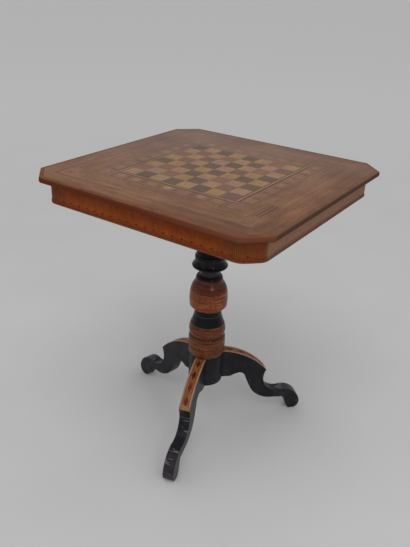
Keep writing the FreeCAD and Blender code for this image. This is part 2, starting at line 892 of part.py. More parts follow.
def make_batten():
    body = new_body("button_batten")
    plan = new_sketch(body, "XY_Plane")
    rectangle(plan, s.batten_width / 2, batten_length / 2)
    pad(body, plan, batten_thickness, reverse=True)
    pilot = new_sketch(body, "XY_Plane", -batten_thickness)
    circle(pilot, (ZERO, ZERO), s.button_screw_radius + s.screw_gap)
    pocket(body, pilot, s.button_screw_bite + s.screw_gap, reverse=True)
    places = [(ZERO, batten_length * share) for share in BATTEN_SCREW_SHARES]
    drill_for_screws(body, places, batten_thickness)
    place(body, -batten_middle, height=underside)
    keep(body)


def make_button():
    """The turn button, and the round headed screw that it swings on."""
    body = new_body("turn_button")
    plan = new_sketch(body, "XY_Plane")
    half = s.button_width / 2
    top, low = s.button_long_arm - half, half - s.button_short_arm
    outline(plan, (half, low), [
        ((half, top),),
        ((ZERO, s.button_long_arm), (-half, top)),
        ((-half, low),),
        ((ZERO, -s.button_short_arm), (half, low))])
    base = pad(body, plan, s.button_thickness, reverse=True)
    bottom = -s.button_thickness.number
    rim = edges_where(base, lambda p: abs(p.z - bottom) < TOUCHING)
    dress(body, "Fillet", base, rim, s.button_edge)
    hole = new_sketch(body, "XY_Plane")
    circle(hole, (ZERO, ZERO), s.button_screw_radius + s.pin_clearance)
    pocket(body, hole, s.button_thickness)
    button_top = underside - batten_thickness - s.button_play
    place(body, -batten_middle, height=button_top)
    keep(body)
    make_button_screw(button_top - s.button_thickness - s.button_play)


def make_button_screw(head_top):
    body = new_body("button_screw")
    profile = new_sketch(body, "XZ_Plane")
    length = s.button_thickness + s.button_play * 2 + s.button_screw_bite
    polygon(profile, [(ZERO, -s.button_screw_dome),
                      (s.button_screw_head * HEAD_FLAT_SHARE, -s.button_screw_dome),
                      (s.button_screw_head, ZERO), (s.button_screw_radius, ZERO),
                      (s.button_screw_radius, length - s.button_screw_radius), (ZERO, length)])
    revolve(body, profile)
    driver_slot(body, s.button_screw_head, -s.button_screw_dome)
    place(body, -batten_middle, height=head_top)
    keep(body)


# The turned column: outlines are shares of each piece's largest radius and its height

LOWER_DRUM_SHARES = [
    ((0.893, 0.000),),
    ((0.962, 0.023), (0.987, 0.073)),
    ((0.998, 0.180), (1.000, 0.283)),
    ((0.985, 0.290),),
    ((1.000, 0.298),),
    ((0.998, 0.410), (0.992, 0.514)),
    ((0.973, 0.522),),
    ((0.987, 0.530),),
    ((0.973, 0.575), (0.931, 0.608)),
    ((0.914, 0.614),),
    ((0.914, 0.652),),
    ((0.956, 0.708), (0.987, 0.779)),
    ((0.969, 0.868), (0.901, 0.993)),
    ((0.895, 1.000),),
]

WAIST_SHARES = [
    ((0.991, 0.000),),
    ((0.960, 0.069), (0.899, 0.276)),
    ((0.836, 0.483), (0.805, 0.690)),
    ((0.803, 1.000),),
]

UPPER_DRUM_SHARES = [
    ((0.832, 0.000),),
    ((0.927, 0.055), (0.977, 0.091)),
    ((1.000, 0.255), (0.998, 0.377)),
    ((0.985, 0.384),),
    ((0.996, 0.391),),
    ((0.977, 0.540), (0.950, 0.627)),
    ((0.935, 0.636),),
    ((0.944, 0.645),),
    ((0.867, 0.770), (0.782, 0.855)),
    ((0.736, 0.895), (0.713, 0.927)),
    ((0.694, 1.000),),
]

CAPITAL_SHARES = [
    ((0.745, 0.000),),
    ((0.741, 0.043), (0.614, 0.109)),
    ((0.545, 0.125),),
    ((0.500, 0.262), (0.545, 0.400)),
    ((0.932, 0.455),),
    ((1.000, 0.486), (0.966, 0.530)),
    ((0.889, 0.609), (0.836, 0.700)),
    ((0.834, 0.739),),
    ((0.855, 0.820), (0.818, 0.899)),
    ((0.759, 0.957),),
    ((0.750, 1.000),),
]

SHAFT_SHARES = [
    ((0.860, 0.000),),
    ((0.900, 0.022), (0.800, 0.045)),
    ((0.660, 0.070), (0.680, 0.110)),
    ((1.000, 0.320), (0.780, 0.640)),
    ((0.690, 0.760), (0.660, 0.860)),
    ((0.800, 0.866),),
    ((0.860, 0.886), (0.800, 0.906)),
    ((0.720, 0.910),),
    ((0.860, 0.945), (1.250, 0.960)),
    ((1.300, 0.975),),
    ((1.300, 1.000),),
]


def scaled(shares, radius, height):
    """Turns an outline in shares into sizes."""
    return [tuple((radius * out, height * up) for out, up in step) for step in shares]


def turned_piece(label, shares, base, radius, height, head=None):
    """A turned piece with a tenon below, and a mortise on top or its own head tenon."""
    body = new_body(label)
    profile = new_sketch(body, "XZ_Plane")
    steps = [((s.tenon_radius, -s.tenon_length),), ((s.tenon_radius, ZERO),)]
    steps += scaled(shares, radius, height)
    steps += head if head else mortise_steps(height)
    steps += [((ZERO, -s.tenon_length),)]
    outline(profile, (ZERO, -s.tenon_length), steps)
    revolve(body, profile)
    place(body, height=base)
    return body


def mortise_steps(height):
    floor = height - mortise_depth
    return [((mortise_radius, height),), ((mortise_radius, floor),), ((ZERO, floor),)]


def make_column():
    keep(turned_piece("lower_drum", LOWER_DRUM_SHARES, lower_drum_base,
                      s.lower_drum_radius, lower_drum_height))
    keep(turned_piece("waist", WAIST_SHARES, waist_base, s.waist_radius, waist_height))
    keep(turned_piece("upper_drum", UPPER_DRUM_SHARES, upper_drum_base,
                      s.upper_drum_radius, upper_drum_height))
    keep(turned_piece("capital", CAPITAL_SHARES, capital_base, s.capital_radius, capital_height))
    make_upper_shaft()


def make_upper_shaft():
    """The head of the column, with a wedged tenon through the block."""
    tenon_top = shaft_height + s.block_thickness - s.head_tenon_short
    head = [((s.head_tenon_radius, shaft_height),), ((s.head_tenon_radius, tenon_top),),
            ((ZERO, tenon_top),)]
    body = turned_piece("upper_shaft", SHAFT_SHARES, shaft_base, s.shaft_radius, shaft_height, head)
    kerf = new_sketch(body, "XZ_Plane")
    wedge_outline(kerf, tenon_top)
    pocket(body, kerf, s.head_tenon_radius * 2 + s.joint_gap, both_ways=True)
    keep(body)
    wedge = new_body("tenon_wedge")
    side_view = new_sketch(wedge, "XZ_Plane")
    wedge_outline(side_view, tenon_top)
    pad(wedge, side_view, (s.head_tenon_radius - s.wedge_margin) * 2, both_ways=True)
    place(wedge, height=shaft_base)
    keep(wedge)


def wedge_outline(sketch, top):
    """The taper of the wedge and of its kerf."""
    wide, narrow, low = s.wedge_top / 2, s.wedge_bottom / 2, top - s.wedge_depth
    polygon(sketch, [(-narrow, low), (narrow, low), (wide, top), (-wide, top)])


# The hub, its pendant and the legs

# Its lower rim is rounded, with a groove and a slight bead above that
HUB_EDGE_SHARES = [
    (0.944, 0.000),
    (0.980, 0.018),
    (0.993, 0.044),
    (0.987, 0.063),
    (0.966, 0.075),
    (0.989, 0.089),
    (1.009, 0.119),
    (1.002, 0.149),
    (0.995, 0.173),
    (1.000, 0.197),
    (1.000, 0.988),
    (0.985, 1.000),
]

PENDANT_SHARES = [
    ((0.560, 0.000),),
    ((0.760, 0.300), (0.840, 0.850)),
    ((0.860, 0.900),),
    ((0.860, 1.000),),
]


def make_hub():
    """The hub: a cylinder with a flat seat and a dovetail housing for each leg."""
    body = new_body("hub")
    profile = new_sketch(body, "XZ_Plane")
    rim = [((s.hub_radius * out, hub_height * up),) for out, up in HUB_EDGE_SHARES]
    low_floor = mortise_depth
    outline(profile, (mortise_radius, ZERO), rim + mortise_steps(hub_height) + [
        ((ZERO, low_floor),), ((mortise_radius, low_floor),), ((mortise_radius, ZERO),)])
    revolve(body, profile)
    seat = new_sketch(body, "XY_Plane")
    half = s.leg_thickness / 2 + s.joint_gap
    far = s.hub_radius + s.leg_seat_depth
    polygon(seat, [(leg_seat, -half), (far, -half), (far, half), (leg_seat, half)])
    flat = pocket(body, seat, hub_height, reverse=True)
    housing = new_sketch(body, "XY_Plane")
    dovetail(housing, s.joint_gap)
    slot_height = leg_rise - s.dovetail_drop + s.joint_gap - hub_base
    slot = pocket(body, housing, slot_height, reverse=True)
    polar_pattern(body, [flat, slot], len(LEG_NAMES))
    place(body, height=hub_base, turn=FRONT_LEG_ANGLE)
    keep(body)


def dovetail(sketch, gap):
    """Plan of a dovetail: narrow at the seat and wide at the root, grown by a gap."""
    root = leg_seat - s.dovetail_depth - gap
    neck_half, root_half = s.dovetail_neck / 2 + gap, s.dovetail_root / 2 + gap
    polygon(sketch, [(root, -root_half), (leg_seat, -neck_half),
                     (leg_seat, neck_half), (root, root_half)])


def make_pendant():
    body = new_body("pendant")
    profile = new_sketch(body, "XZ_Plane")
    steps = scaled(PENDANT_SHARES, s.hub_radius, s.pendant_height)
    top = s.pendant_height + s.tenon_length
    outline(profile, (ZERO, ZERO), steps + [
        ((s.tenon_radius, s.pendant_height),), ((s.tenon_radius, top),),
        ((ZERO, top),), ((ZERO, ZERO),)])
    revolve(body, profile)
    place(body, height=hub_base - s.pendant_height)
    keep(body)


# The leg below its crest, from the nose round the foot to the hub,
# in shares of the reach and of the height at the hub
LEG_SHARES = [
    ((0.590, 0.536), (0.632, 0.388)),
    ((0.721, 0.323), (0.798, 0.328)),
    ((0.926, 0.273), (1.000, 0.115)),
    ((0.987, 0.038), (0.949, 0.000)),
    ((0.893, 0.000),),
    ((0.857, 0.077), (0.833, 0.182)),
    ((0.827, 0.194), (0.805, 0.199)),
    ((0.710, 0.210),),
    ((0.552, 0.266), (0.460, 0.397)),
    ((0.434, 0.469), (0.404, 0.574)),
    ((0.382, 0.629), (0.338, 0.658)),
    ((0.283, 0.641), (0.243, 0.617)),
]
LEG_UNDERSIDE_SHARE = 0.6215


def on_crest(radius, angle):
    """A point of the leg's round crest, which begins where its level start ends."""
    start, turn = math.radians(CREST_START_ANGLE), math.radians(angle)
    across = leg_seat + s.crest_flat - crest_radius * math.cos(start)
    height = leg_rise - crest_radius * math.sin(start)
    return across + radius * math.cos(turn), height + radius * math.sin(turn)


def crest_strip(body, first_angle, last_angle, level_start=False):
    """A strip of veneer that follows the crest between two angles."""
    sketch = new_sketch(body, "XZ_Plane")
    outer, inner = crest_radius, crest_radius - s.veneer_thickness
    middle = (first_angle + last_angle) / 2
    start = on_crest(inner, first_angle)
    steps = [(on_crest(outer, first_angle),)]
    closing = [(on_crest(inner, middle), on_crest(inner, first_angle))]
    if level_start:
        start = (leg_seat, leg_rise - s.veneer_thickness)
        steps = [((leg_seat, leg_rise),)] + steps
        closing += [(start,)]
    steps += [(on_crest(outer, middle), on_crest(outer, last_angle)), (on_crest(inner, last_angle),)]
    outline(sketch, start, steps + closing)
    pad(body, sketch, s.leg_thickness, both_ways=True)


def make_leg(label):
    """One leg with its dovetail tenon."""
    body = new_body(label)
    side_view = new_sketch(body, "XZ_Plane")
    inner = crest_radius - s.veneer_thickness
    middle = (CREST_START_ANGLE + NOSE_ANGLE) / 2
    start = (leg_seat, leg_rise * LEG_UNDERSIDE_SHARE)
    outline(side_view, start, [
        ((leg_seat, leg_rise - s.veneer_thickness),),
        (on_crest(inner, CREST_START_ANGLE),),
        (on_crest(inner, middle), on_crest(inner, NOSE_ANGLE)),
        (on_crest(crest_radius, NOSE_ANGLE),)]
        + scaled(LEG_SHARES, s.leg_reach, leg_rise) + [(start,)])
    pad(body, side_view, s.leg_thickness, both_ways=True)
    tenon = new_sketch(body, "XY_Plane", leg_rise * LEG_UNDERSIDE_SHARE)
    dovetail(tenon, ZERO)
    height = leg_rise - s.dovetail_drop - leg_rise * LEG_UNDERSIDE_SHARE
    pad(body, tenon, height)
    return body


def make_legs():
    tips = []
    for number, name in enumerate(LEG_NAMES):
        turn = FRONT_LEG_ANGLE + LEG_STEP_ANGLE * number
        leg = make_leg(f"leg_{name}")
        strip = new_body(f"leg_veneer_{name}")
        crest_strip(strip, CREST_START_ANGLE, TIP_START_ANGLE, level_start=True)
        tip = new_body(f"leg_tip_{name}")
        crest_strip(tip, TIP_START_ANGLE, NOSE_ANGLE)
        for piece in (leg, strip, tip):
            place(piece, turn=turn)
        keep(leg)
        keep(strip)
        tips.append(tip)
    group("leg_tips", tips)


# Build, check and write

def check_objects():
    """Stops if any object failed or any piece has no valid solid."""
    doc.recompute()
    for thing in doc.Objects:
        if any(word in thing.State for word in ("Invalid", "Error")):
            raise RuntimeError(f"{thing.Name} is in state {thing.State}")
    for node in nodes:
        shape = node.Shape
        if shape.isNull() or not shape.isValid() or not shape.Solids:
            raise RuntimeError(f"{node.Label} has no valid solid")


def write_steps():
    os.makedirs("parts", exist_ok=True)
    for node in nodes:
        node.Shape.exportStep(f"parts/{node.Label}.step")
        print(f"{node.Label}: {len(node.Shape.Solids)} solids, {node.Shape.Volume / 1000:.1f} cm3")


make_top_board()
make_mouldings()
make_squares()
make_border()
make_field()
make_frieze()
make_block()
make_pins()
make_bearers()
make_screws()
make_batten()
make_button()
make_column()
make_hub()
make_pendant()
make_legs()
check_objects()
write_steps()
print(f"{len(nodes)} pieces written")
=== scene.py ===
# %% [markdown]
# # A tilting games table
# A square top with a chessboard in marquetry tilts on a turned column with three scrolled legs.
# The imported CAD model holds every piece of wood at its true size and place, and it is loaded here
# as a fixed frame. This file gives each piece the wood and polish of the real one, and adds the
# small inlays that are too fine for the CAD model.

import json
import math

import bpy
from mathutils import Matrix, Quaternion, Vector


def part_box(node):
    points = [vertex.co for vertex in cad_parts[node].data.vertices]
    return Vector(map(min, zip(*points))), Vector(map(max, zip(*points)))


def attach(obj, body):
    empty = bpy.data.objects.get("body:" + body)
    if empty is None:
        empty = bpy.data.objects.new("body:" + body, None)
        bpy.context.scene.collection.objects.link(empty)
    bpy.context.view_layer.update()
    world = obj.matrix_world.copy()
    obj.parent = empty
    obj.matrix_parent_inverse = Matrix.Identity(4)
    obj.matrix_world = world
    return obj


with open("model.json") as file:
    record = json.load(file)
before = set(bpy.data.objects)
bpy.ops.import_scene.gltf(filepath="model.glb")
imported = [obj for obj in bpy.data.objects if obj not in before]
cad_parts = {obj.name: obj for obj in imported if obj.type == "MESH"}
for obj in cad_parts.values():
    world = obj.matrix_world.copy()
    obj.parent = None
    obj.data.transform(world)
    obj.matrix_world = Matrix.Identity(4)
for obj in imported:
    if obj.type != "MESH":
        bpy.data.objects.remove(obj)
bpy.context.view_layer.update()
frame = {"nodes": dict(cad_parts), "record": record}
nodes = frame["nodes"]
record = frame["record"]

# %% [markdown]
# ## The camera
# The camera stands where the photographer stood: in front of the table and to its right, at
# shoulder height. Its place was found by matching the corners of the top, the frieze and the
# feet. The focal length in pixels turns into a lens length for a 36 mm sensor, whose width
# belongs to the long side of the picture.

# %% Place the camera
PHOTO_WIDTH = 410
PHOTO_HEIGHT = 547
SENSOR_MM = 36.0
FOCAL_PIXELS = 608.8
AZIMUTH = math.radians(33.915)
ELEVATION = math.radians(26.718)
ROLL = math.radians(2.36)
DISTANCE = 1.4986
TARGET = Vector((-0.00946, -0.00635, 0.4350))


def direction(azimuth, elevation):
    """The way from the table towards a point seen at these angles."""
    level = math.cos(elevation)
    return Vector((math.sin(azimuth) * level, -math.cos(azimuth) * level, math.sin(elevation)))


lens = bpy.data.cameras.new("camera")
lens.sensor_width = SENSOR_MM
lens.lens = SENSOR_MM * FOCAL_PIXELS / max(PHOTO_WIDTH, PHOTO_HEIGHT)
camera = bpy.data.objects.new("camera", lens)
bpy.context.scene.collection.objects.link(camera)
back = direction(AZIMUTH, ELEVATION)
camera.location = TARGET + back * DISTANCE
camera.rotation_mode = "QUATERNION"
camera.rotation_quaternion = (-back).to_track_quat("-Z", "Y") @ Quaternion((0, 0, 1), ROLL)
bpy.context.scene.camera = camera
print("lens", round(lens.lens, 2), "mm, at", [round(place, 3) for place in camera.location])

# %% [markdown]
# ## Shader trees as sums
# Materials are easier to read as sums than as a tangle of nodes. `Wire` wraps a socket, and each
# operator adds the Math node that does that sum. `Nodes.node` adds any other node: first its
# settings, then a value or a wire for each input. Numbers alone are worked out in Python.

# %% Wires and nodes


class Wire:
    """An output socket that takes part in sums like a number."""

    def __init__(self, nodes, socket):
        self.nodes = nodes
        self.socket = socket

    def math(self, operation, *values):
        return self.nodes.node("ShaderNodeMath", {"operation": operation}, (self, *values))

    def __add__(self, other):
        return self.math("ADD", other)

    def __sub__(self, other):
        return self.math("SUBTRACT", other)

    def __rsub__(self, other):
        return self.nodes.node("ShaderNodeMath", {"operation": "SUBTRACT"}, (other, self))

    def __mul__(self, other):
        return self.math("MULTIPLY", other)

    def __truediv__(self, other):
        return self.math("DIVIDE", other)

    def __gt__(self, other):
        return self.math("GREATER_THAN", other)

    def __lt__(self, other):
        return self.math("LESS_THAN", other)

    def __abs__(self):
        return self.math("ABSOLUTE")

    __radd__ = __add__
    __rmul__ = __mul__


class Nodes:
    """A node tree that is built from wires."""

    def __init__(self, tree):
        self.tree = tree

    def node(self, kind, settings, inputs, output=0):
        """Adds a node. Inputs go by place in a tuple, or by name or number in a dict."""
        made = self.tree.nodes.new(kind)
        for name, value in settings.items():
            if name == "stops":
                self.set_stops(made.color_ramp, value)
            else:
                setattr(made, name, value)
        pairs = inputs.items() if isinstance(inputs, dict) else enumerate(inputs)
        for name, value in pairs:
            self.plug(made.inputs[name], value)
        return Wire(self, made.outputs[output])

    def plug(self, socket, value):
        """Links a wire to an input, or sets the input to a plain value."""
        if isinstance(value, Wire):
            self.tree.links.new(value.socket, socket)
        else:
            socket.default_value = value

    def set_stops(self, ramp, stops):
        while len(ramp.elements) < len(stops):
            ramp.elements.new(1.0)
        for element, (position, colour) in zip(ramp.elements, stops):
            element.position = position
            element.color = colour

    def split(self, vector):
        parts = self.tree.nodes.new("ShaderNodeSeparateXYZ")
        self.plug(parts.inputs[0], vector)
        return [Wire(self, socket) for socket in parts.outputs]

    def vector(self, x, y, z):
        return self.node("ShaderNodeCombineXYZ", {}, (x, y, z))


print("wires and nodes are ready")

# %% [markdown]
# ## Tools for every finish
# A material is one Principled shader. `Paint` opens it and keeps the coordinates of the piece,
# which are in metres in the frame of the table, because a piece's place is in its mesh. Colours
# are named as a screen shows them, from 0 to 255, and turned into the linear values that the
# shader takes. A tint multiplies a colour: above 1 it lightens a channel, below 1 it darkens it.

# %% Paint


def rgb(red, green, blue):
    """A screen colour as linear red, green, blue and a full alpha."""
    shares = [level / 255 for level in (red, green, blue)]
    linear = [share / 12.92 if share <= 0.04045 else ((share + 0.055) / 1.055) ** 2.4
              for share in shares]
    return (*linear, 1.0)


class Paint(Nodes):
    """One material: its shader and the nodes in front of it."""

    def __init__(self, name):
        self.material = bpy.data.materials.new(name)
        self.material.use_nodes = True
        super().__init__(self.material.node_tree)
        self.shader = self.tree.nodes["Principled BSDF"]
        self.place = self.node("ShaderNodeTexCoord", {}, {}, "Object")
        self.x, self.y, self.z = self.split(self.place)

    def noise(self, vector, scale=1.0, detail=3.0, distortion=0.0):
        """Cloudy values from 0 to 1, most of them near a half."""
        return self.node("ShaderNodeTexNoise", {}, {
            "Vector": vector, "Scale": scale, "Detail": detail, "Distortion": distortion})

    def plan_noise(self, plan, height, detail, distortion=0.0):
        """Noise with one scale in plan and another in height."""
        point = self.vector(self.x * plan, self.y * plan, self.z * height)
        return self.noise(point, 1.0, detail, distortion)

    def cells(self, vector):
        """A random value from 0 to 1 that stays the same for the same whole numbers."""
        return self.node("ShaderNodeTexWhiteNoise", {}, {"Vector": vector})

    def ramp(self, value, *stops):
        return self.node("ShaderNodeValToRGB", {"stops": stops}, (value,))

    def mix(self, share, first, second, blend="MIX"):
        settings = {"data_type": "RGBA", "blend_type": blend}
        return self.node("ShaderNodeMix", settings, {0: share, 6: first, 7: second}, 2)

    def tint(self, share, colour, factor):
        """Multiplies a colour by a factor for each channel, by a share of the way."""
        return self.mix(share, colour, factor, "MULTIPLY")

    def smooth(self, value, low, high):
        """0 at low and before, and 1 at high and past it. Low may be the larger number."""
        return self.node("ShaderNodeMapRange", {"interpolation_type": "SMOOTHSTEP"},
                         {"Value": value, "From Min": low, "From Max": high})

    def line(self, distance, full, none):
        """1 where a distance is at most full, either way, and 0 where it is none or more."""
        return self.smooth(abs(distance), none, full)

    def relief(self, height, depth):
        """Raises and sinks the surface by up to a depth in metres."""
        bump = self.node("ShaderNodeBump", {}, {"Height": height, "Distance": depth})
        self.plug(self.shader.inputs["Normal"], bump)

    def finish(self, colour, roughness, **sockets):
        """Links the colour and the roughness, and sets the other sockets to plain numbers."""
        self.plug(self.shader.inputs["Base Color"], colour)
        self.plug(self.shader.inputs["Roughness"], roughness)
        for name, value in sockets.items():
            self.shader.inputs[name.replace("_", " ")].default_value = value
        return self.material


print("black is", rgb(0, 0, 0), "and white is", rgb(255, 255, 255))

# %% [markdown]
# ## Light and floor
# The photograph was taken in a pale grey studio where light comes from all round: the shadow under
# the table is only a soft darkening. So the world gives most of the light. A wide lamp overhead
# adds a little direction, and a small one to the right of the camera makes the small highlights
# on the turned rings. Camera and glossy rays see a plain grey room instead of the light.

# %% World and lamps
ROOM_GREY = rgb(176, 176, 177)
FILL_LIGHT = 0.80
LAMP_TARGET = Vector((0, 0, 0.4))

world = bpy.data.worlds.new("studio")
bpy.context.scene.world = world
world.use_nodes = True
sky = Nodes(world.node_tree)
sky.tree.nodes.clear()
path = sky.tree.nodes.new("ShaderNodeLightPath")
seen = [Wire(sky, path.outputs[name])
        for name in ("Is Camera Ray", "Is Glossy Ray", "Is Transmission Ray")]
shown = seen[0].math("MAXIMUM", seen[1]).math("MAXIMUM", seen[2])
fill = sky.node("ShaderNodeBackground", {}, {"Color": (1, 1, 1, 1), "Strength": FILL_LIGHT})
room = sky.node("ShaderNodeBackground", {}, {"Color": ROOM_GREY, "Strength": 1.0})
both = sky.node("ShaderNodeMixShader", {}, (shown, fill, room))
ending = sky.tree.nodes.new("ShaderNodeOutputWorld")
sky.plug(ending.inputs["Surface"], both)


def soft_lamp(name, place, width, watts):
    """A square lamp that faces the middle of the table."""
    light = bpy.data.lights.new(name, "AREA")
    light.size = width
    light.energy = watts
    lamp = bpy.data.objects.new(name, light)
    bpy.context.scene.collection.objects.link(lamp)
    lamp.location = place
    lamp.rotation_mode = "QUATERNION"
    lamp.rotation_quaternion = (Vector(place) - LAMP_TARGET).to_track_quat("Z", "Y")


soft_lamp("high_lamp", place=(0.7, -1.5, 3.9), width=2.2, watts=42)
soft_lamp("near_lamp", place=(1.87, -1.26, 1.75), width=0.34, watts=5)
bpy.context.scene.view_settings.view_transform = "Standard"

# %% [markdown]
# The floor is a wide sheet of grey paper. It is a little paler far off, so that it also serves as
# the backdrop. A single large quad is enough, because nothing on it shows but the soft shadow
# and a faint unevenness.

# %% Floor
FLOOR_HALF = 45.0
FLOOR_GREY = rgb(183, 182, 182)
FLOOR_LIGHT_GREY = rgb(190, 190, 191)
FAR_GREY = rgb(197, 196, 197)
FAR_START = 1.5
FAR_END = 4.5


def mesh_object(name, points, faces, edges=()):
    """A new object with its place in its mesh."""
    mesh = bpy.data.meshes.new(name)
    mesh.from_pydata(points, edges, faces)
    mesh.validate()
    thing = bpy.data.objects.new(name, mesh)
    bpy.context.scene.collection.objects.link(thing)
    return thing


floor_corners = [(x * FLOOR_HALF, y * FLOOR_HALF, 0)
                 for x, y in ((-1, -1), (1, -1), (1, 1), (-1, 1))]
floor = mesh_object("floor", floor_corners, [(0, 1, 2, 3)])
paper = Paint("grey_paper")
unevenness = paper.noise(paper.place, scale=3.0, detail=4.0)
near_colour = paper.mix(unevenness, FLOOR_GREY, FLOOR_LIGHT_GREY)
distance = (paper.x * paper.x + paper.y * paper.y).math("SQRT")
paper_colour = paper.mix(paper.smooth(distance, FAR_START, FAR_END), near_colour, FAR_GREY)
floor.data.materials.append(paper.finish(paper_colour, 0.9))
print("the floor reaches", FLOOR_HALF, "metres each way")

# %% [markdown]
# ## Wood
# Wood shows two things: a broad figure of light and dark bands, and fine fibres that run the same
# way. Both are noise that is stretched along the grain, so one method makes either, from the width
# of a band and how many times longer it is.
#
# Age adds four more, from large to small: the cloudy darkening that a century of hands and polish
# leaves, a varnish that has turned olive here and plum there, pale worn spots, and dark flecks.

# %% Grain and patina
MM = 0.001
FIBRE_WIDTH = 0.9 * MM
FIBRE_STRETCH = 28.0
FIBRE_SHARE = 0.35
PATINA_SIZE = 0.11
PATINA_TINT = (0.66, 0.6, 0.56, 1.0)
VARNISH_SIZE = 34 * MM
OLIVE_TINT = (1.02, 1.06, 0.84, 1.0)
PLUM_TINT = (1.02, 0.94, 1.02, 1.0)
PALE_WIDTH = 3.1 * MM
PALE_TINT = (1.34, 1.3, 1.24, 1.0)
FLECK_WIDTH = 2.6 * MM
FLECK_TINT = (0.45, 0.4, 0.37, 1.0)
FAR_SHEEN_BROWN = rgb(118, 99, 91)
FAR_SHEEN_START = -0.16
FAR_SHEEN_FULL = 0.42
VENEER_RELIEF = 0.05 * MM
POLISH = {"Coat_Weight": 0.05, "Coat_Roughness": 0.3, "Specular_IOR_Level": 0.12}


class Wood(Paint):
    """A wooden finish with a grain direction, which is X until it is turned."""

    def __init__(self, name):
        super().__init__(name)
        self.turn(self.x, self.y, self.z)

    def turn(self, along, across, third):
        """Sets the grain direction: along, and the two ways across."""
        self.along, self.across, self.third = along, across, third
        return self

    def bands(self, width, stretch, detail=3.0, distortion=0.0):
        across = 1.0 / width
        point = self.vector(self.along * (across / stretch), self.across * across,
                            self.third * across)
        return self.noise(point, 1.0, detail, distortion)

    def make_fibres(self):
        self.fibres = self.bands(FIBRE_WIDTH, FIBRE_STRETCH, 2.0)
        return self.fibres

    def figure(self, width, stretch, dark, middle, light):
        """Three tones, by bands of a width that are stretch times longer, and by fibres."""
        broad = self.bands(width, stretch, 3.0, 0.6)
        tone = broad * (1.0 - FIBRE_SHARE) + self.make_fibres() * FIBRE_SHARE
        return self.ramp(tone, (0.32, dark), (0.50, middle), (0.68, light))

    def streaked(self, base, tone, dark, light):
        """Streaks that darken and lighten a base colour by a factor for each channel."""
        return self.tint(1.0, base, self.ramp(tone, (0.3, (*dark, 1.0)), (0.7, (*light, 1.0))))

    def aged(self, colour, strength):
        """The four marks of age. The strength is that of the patina."""
        cloud = self.smooth(self.noise(self.place, 1.0 / PATINA_SIZE, 4.0), 0.42, 0.68)
        varnish = self.noise(self.place, 1.0 / VARNISH_SIZE, 3.0)
        fleck = self.smooth(self.bands(FLECK_WIDTH, 4.0, 2.0), 0.58, 0.70)
        pale = self.smooth(self.bands(PALE_WIDTH, 3.0, 2.0), 0.57, 0.68)
        colour = self.tint(1.0, colour, self.ramp(varnish, (0.36, OLIVE_TINT), (0.64, PLUM_TINT)))
        colour = self.tint(cloud * strength, colour, PATINA_TINT)
        colour = self.tint(pale * 0.5, colour, PALE_TINT)
        return self.tint(fleck * 0.6, colour, FLECK_TINT)

    def painted_far_sheen(self, colour):
        """Painted sheen: the far left half of the top is painted a greyer brown, as painted
        reflection.
        """
        far = self.smooth(self.y - self.x * 0.6, FAR_SHEEN_START, FAR_SHEEN_FULL)
        return self.mix(far * 0.55, colour, FAR_SHEEN_BROWN)

    def polished(self, colour, depth=VENEER_RELIEF, joints=None):
        """Thin polish that has sunk into the fibres, and into open joints if there are any."""
        self.relief(self.fibres if joints is None else self.fibres - joints, depth)
        return self.finish(colour, self.fibres * 0.12 + 0.32, **POLISH)


print("a fibre is", round(FIBRE_WIDTH * FIBRE_STRETCH * 1000, 1), "mm long")

# %% [markdown]
# ## The playing surface
# The squares are cut from two woods, and no two pieces have the same tone. A random number for
# each square of the grid picks its tone: the whole numbers of column and row go into a white
# noise. The joints between squares are hairlines of dark glue.

# %% Chessboard
board_low, board_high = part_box("dark_squares")
BOARD_HALF = board_high.x
SQUARE = (board_high.x - board_low.x) / 8
SEAM_HALF = 0.25 * MM
GLUE = rgb(38, 24, 18)


def from_middle(value, pitch):
    """How far a point is from the middle of its repeat, as a share of the pitch up to a half."""
    return abs((value / pitch).math("FRACT") - 0.5)


def seam(value, pitch):
    """1 on the joints of a row of pieces of equal pitch, and 0 on the pieces."""
    return from_middle(value, pitch) > 0.5 - SEAM_HALF / pitch


def square_finish(name, *tones):
    wood = Wood(name)
    wood.turn(wood.y, wood.x, wood.z)
    column, row = [(place / SQUARE).math("FLOOR") for place in (wood.x, wood.y)]
    base = wood.ramp(wood.cells(wood.vector(column, row, 0.0)), *tones)
    tone = wood.bands(4.0 * MM, 9.0, 3.0, 0.5) * 0.6 + wood.make_fibres() * 0.4
    colour = wood.streaked(base, tone, (0.78, 0.75, 0.72), (1.18, 1.16, 1.14))
    joints = seam(wood.x, SQUARE).math("MAXIMUM", seam(wood.y, SQUARE))
    colour = wood.mix(joints * 0.6, wood.aged(colour, 0.3), GLUE)
    return wood.polished(colour, joints=joints)


light_square = square_finish("light_square_veneer", (0.1, rgb(138, 108, 74)),
                             (0.35, rgb(140, 111, 86)), (0.65, rgb(142, 108, 86)),
                             (0.9, rgb(132, 108, 90)))
dark_square = square_finish("dark_square_veneer", (0.1, rgb(98, 79, 62)), (0.35, rgb(92, 73, 63)),
                            (0.6, rgb(106, 78, 70)), (0.9, rgb(120, 86, 68)))
print("each square is", round(SQUARE * 1000, 1), "mm")

# %% [markdown]
# ## Veneers that run round the board
# Borders are laid in strips whose grain follows the side they lie on. One material can serve all
# four sides: where a point is further out in X than in Y it belongs to a left or right strip, and
# its grain is turned. The two coordinates are swapped by that mask, not painted twice. The rim has
# darkened under hands, more at the front and the back than on the two sides.

# %% Grain that follows the side
MITRE_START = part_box("edge_line")[1].x
MITRE_SLOPE = 0.157
HANDLED_START = MITRE_START + 13.5 * MM
HANDLED_FULL = HANDLED_START + 30 * MM
HANDLED_TINT = (0.6, 0.5, 0.42, 1.0)
HANDLED_WEIGHT = 0.22
HANDLED_LESS_ON_SIDES = 0.16
NEAR_CORNER_START = 0.40
NEAR_CORNER_FULL = 0.50
NEAR_CORNER_TINT = (0.86, 0.84, 0.9, 1.0)


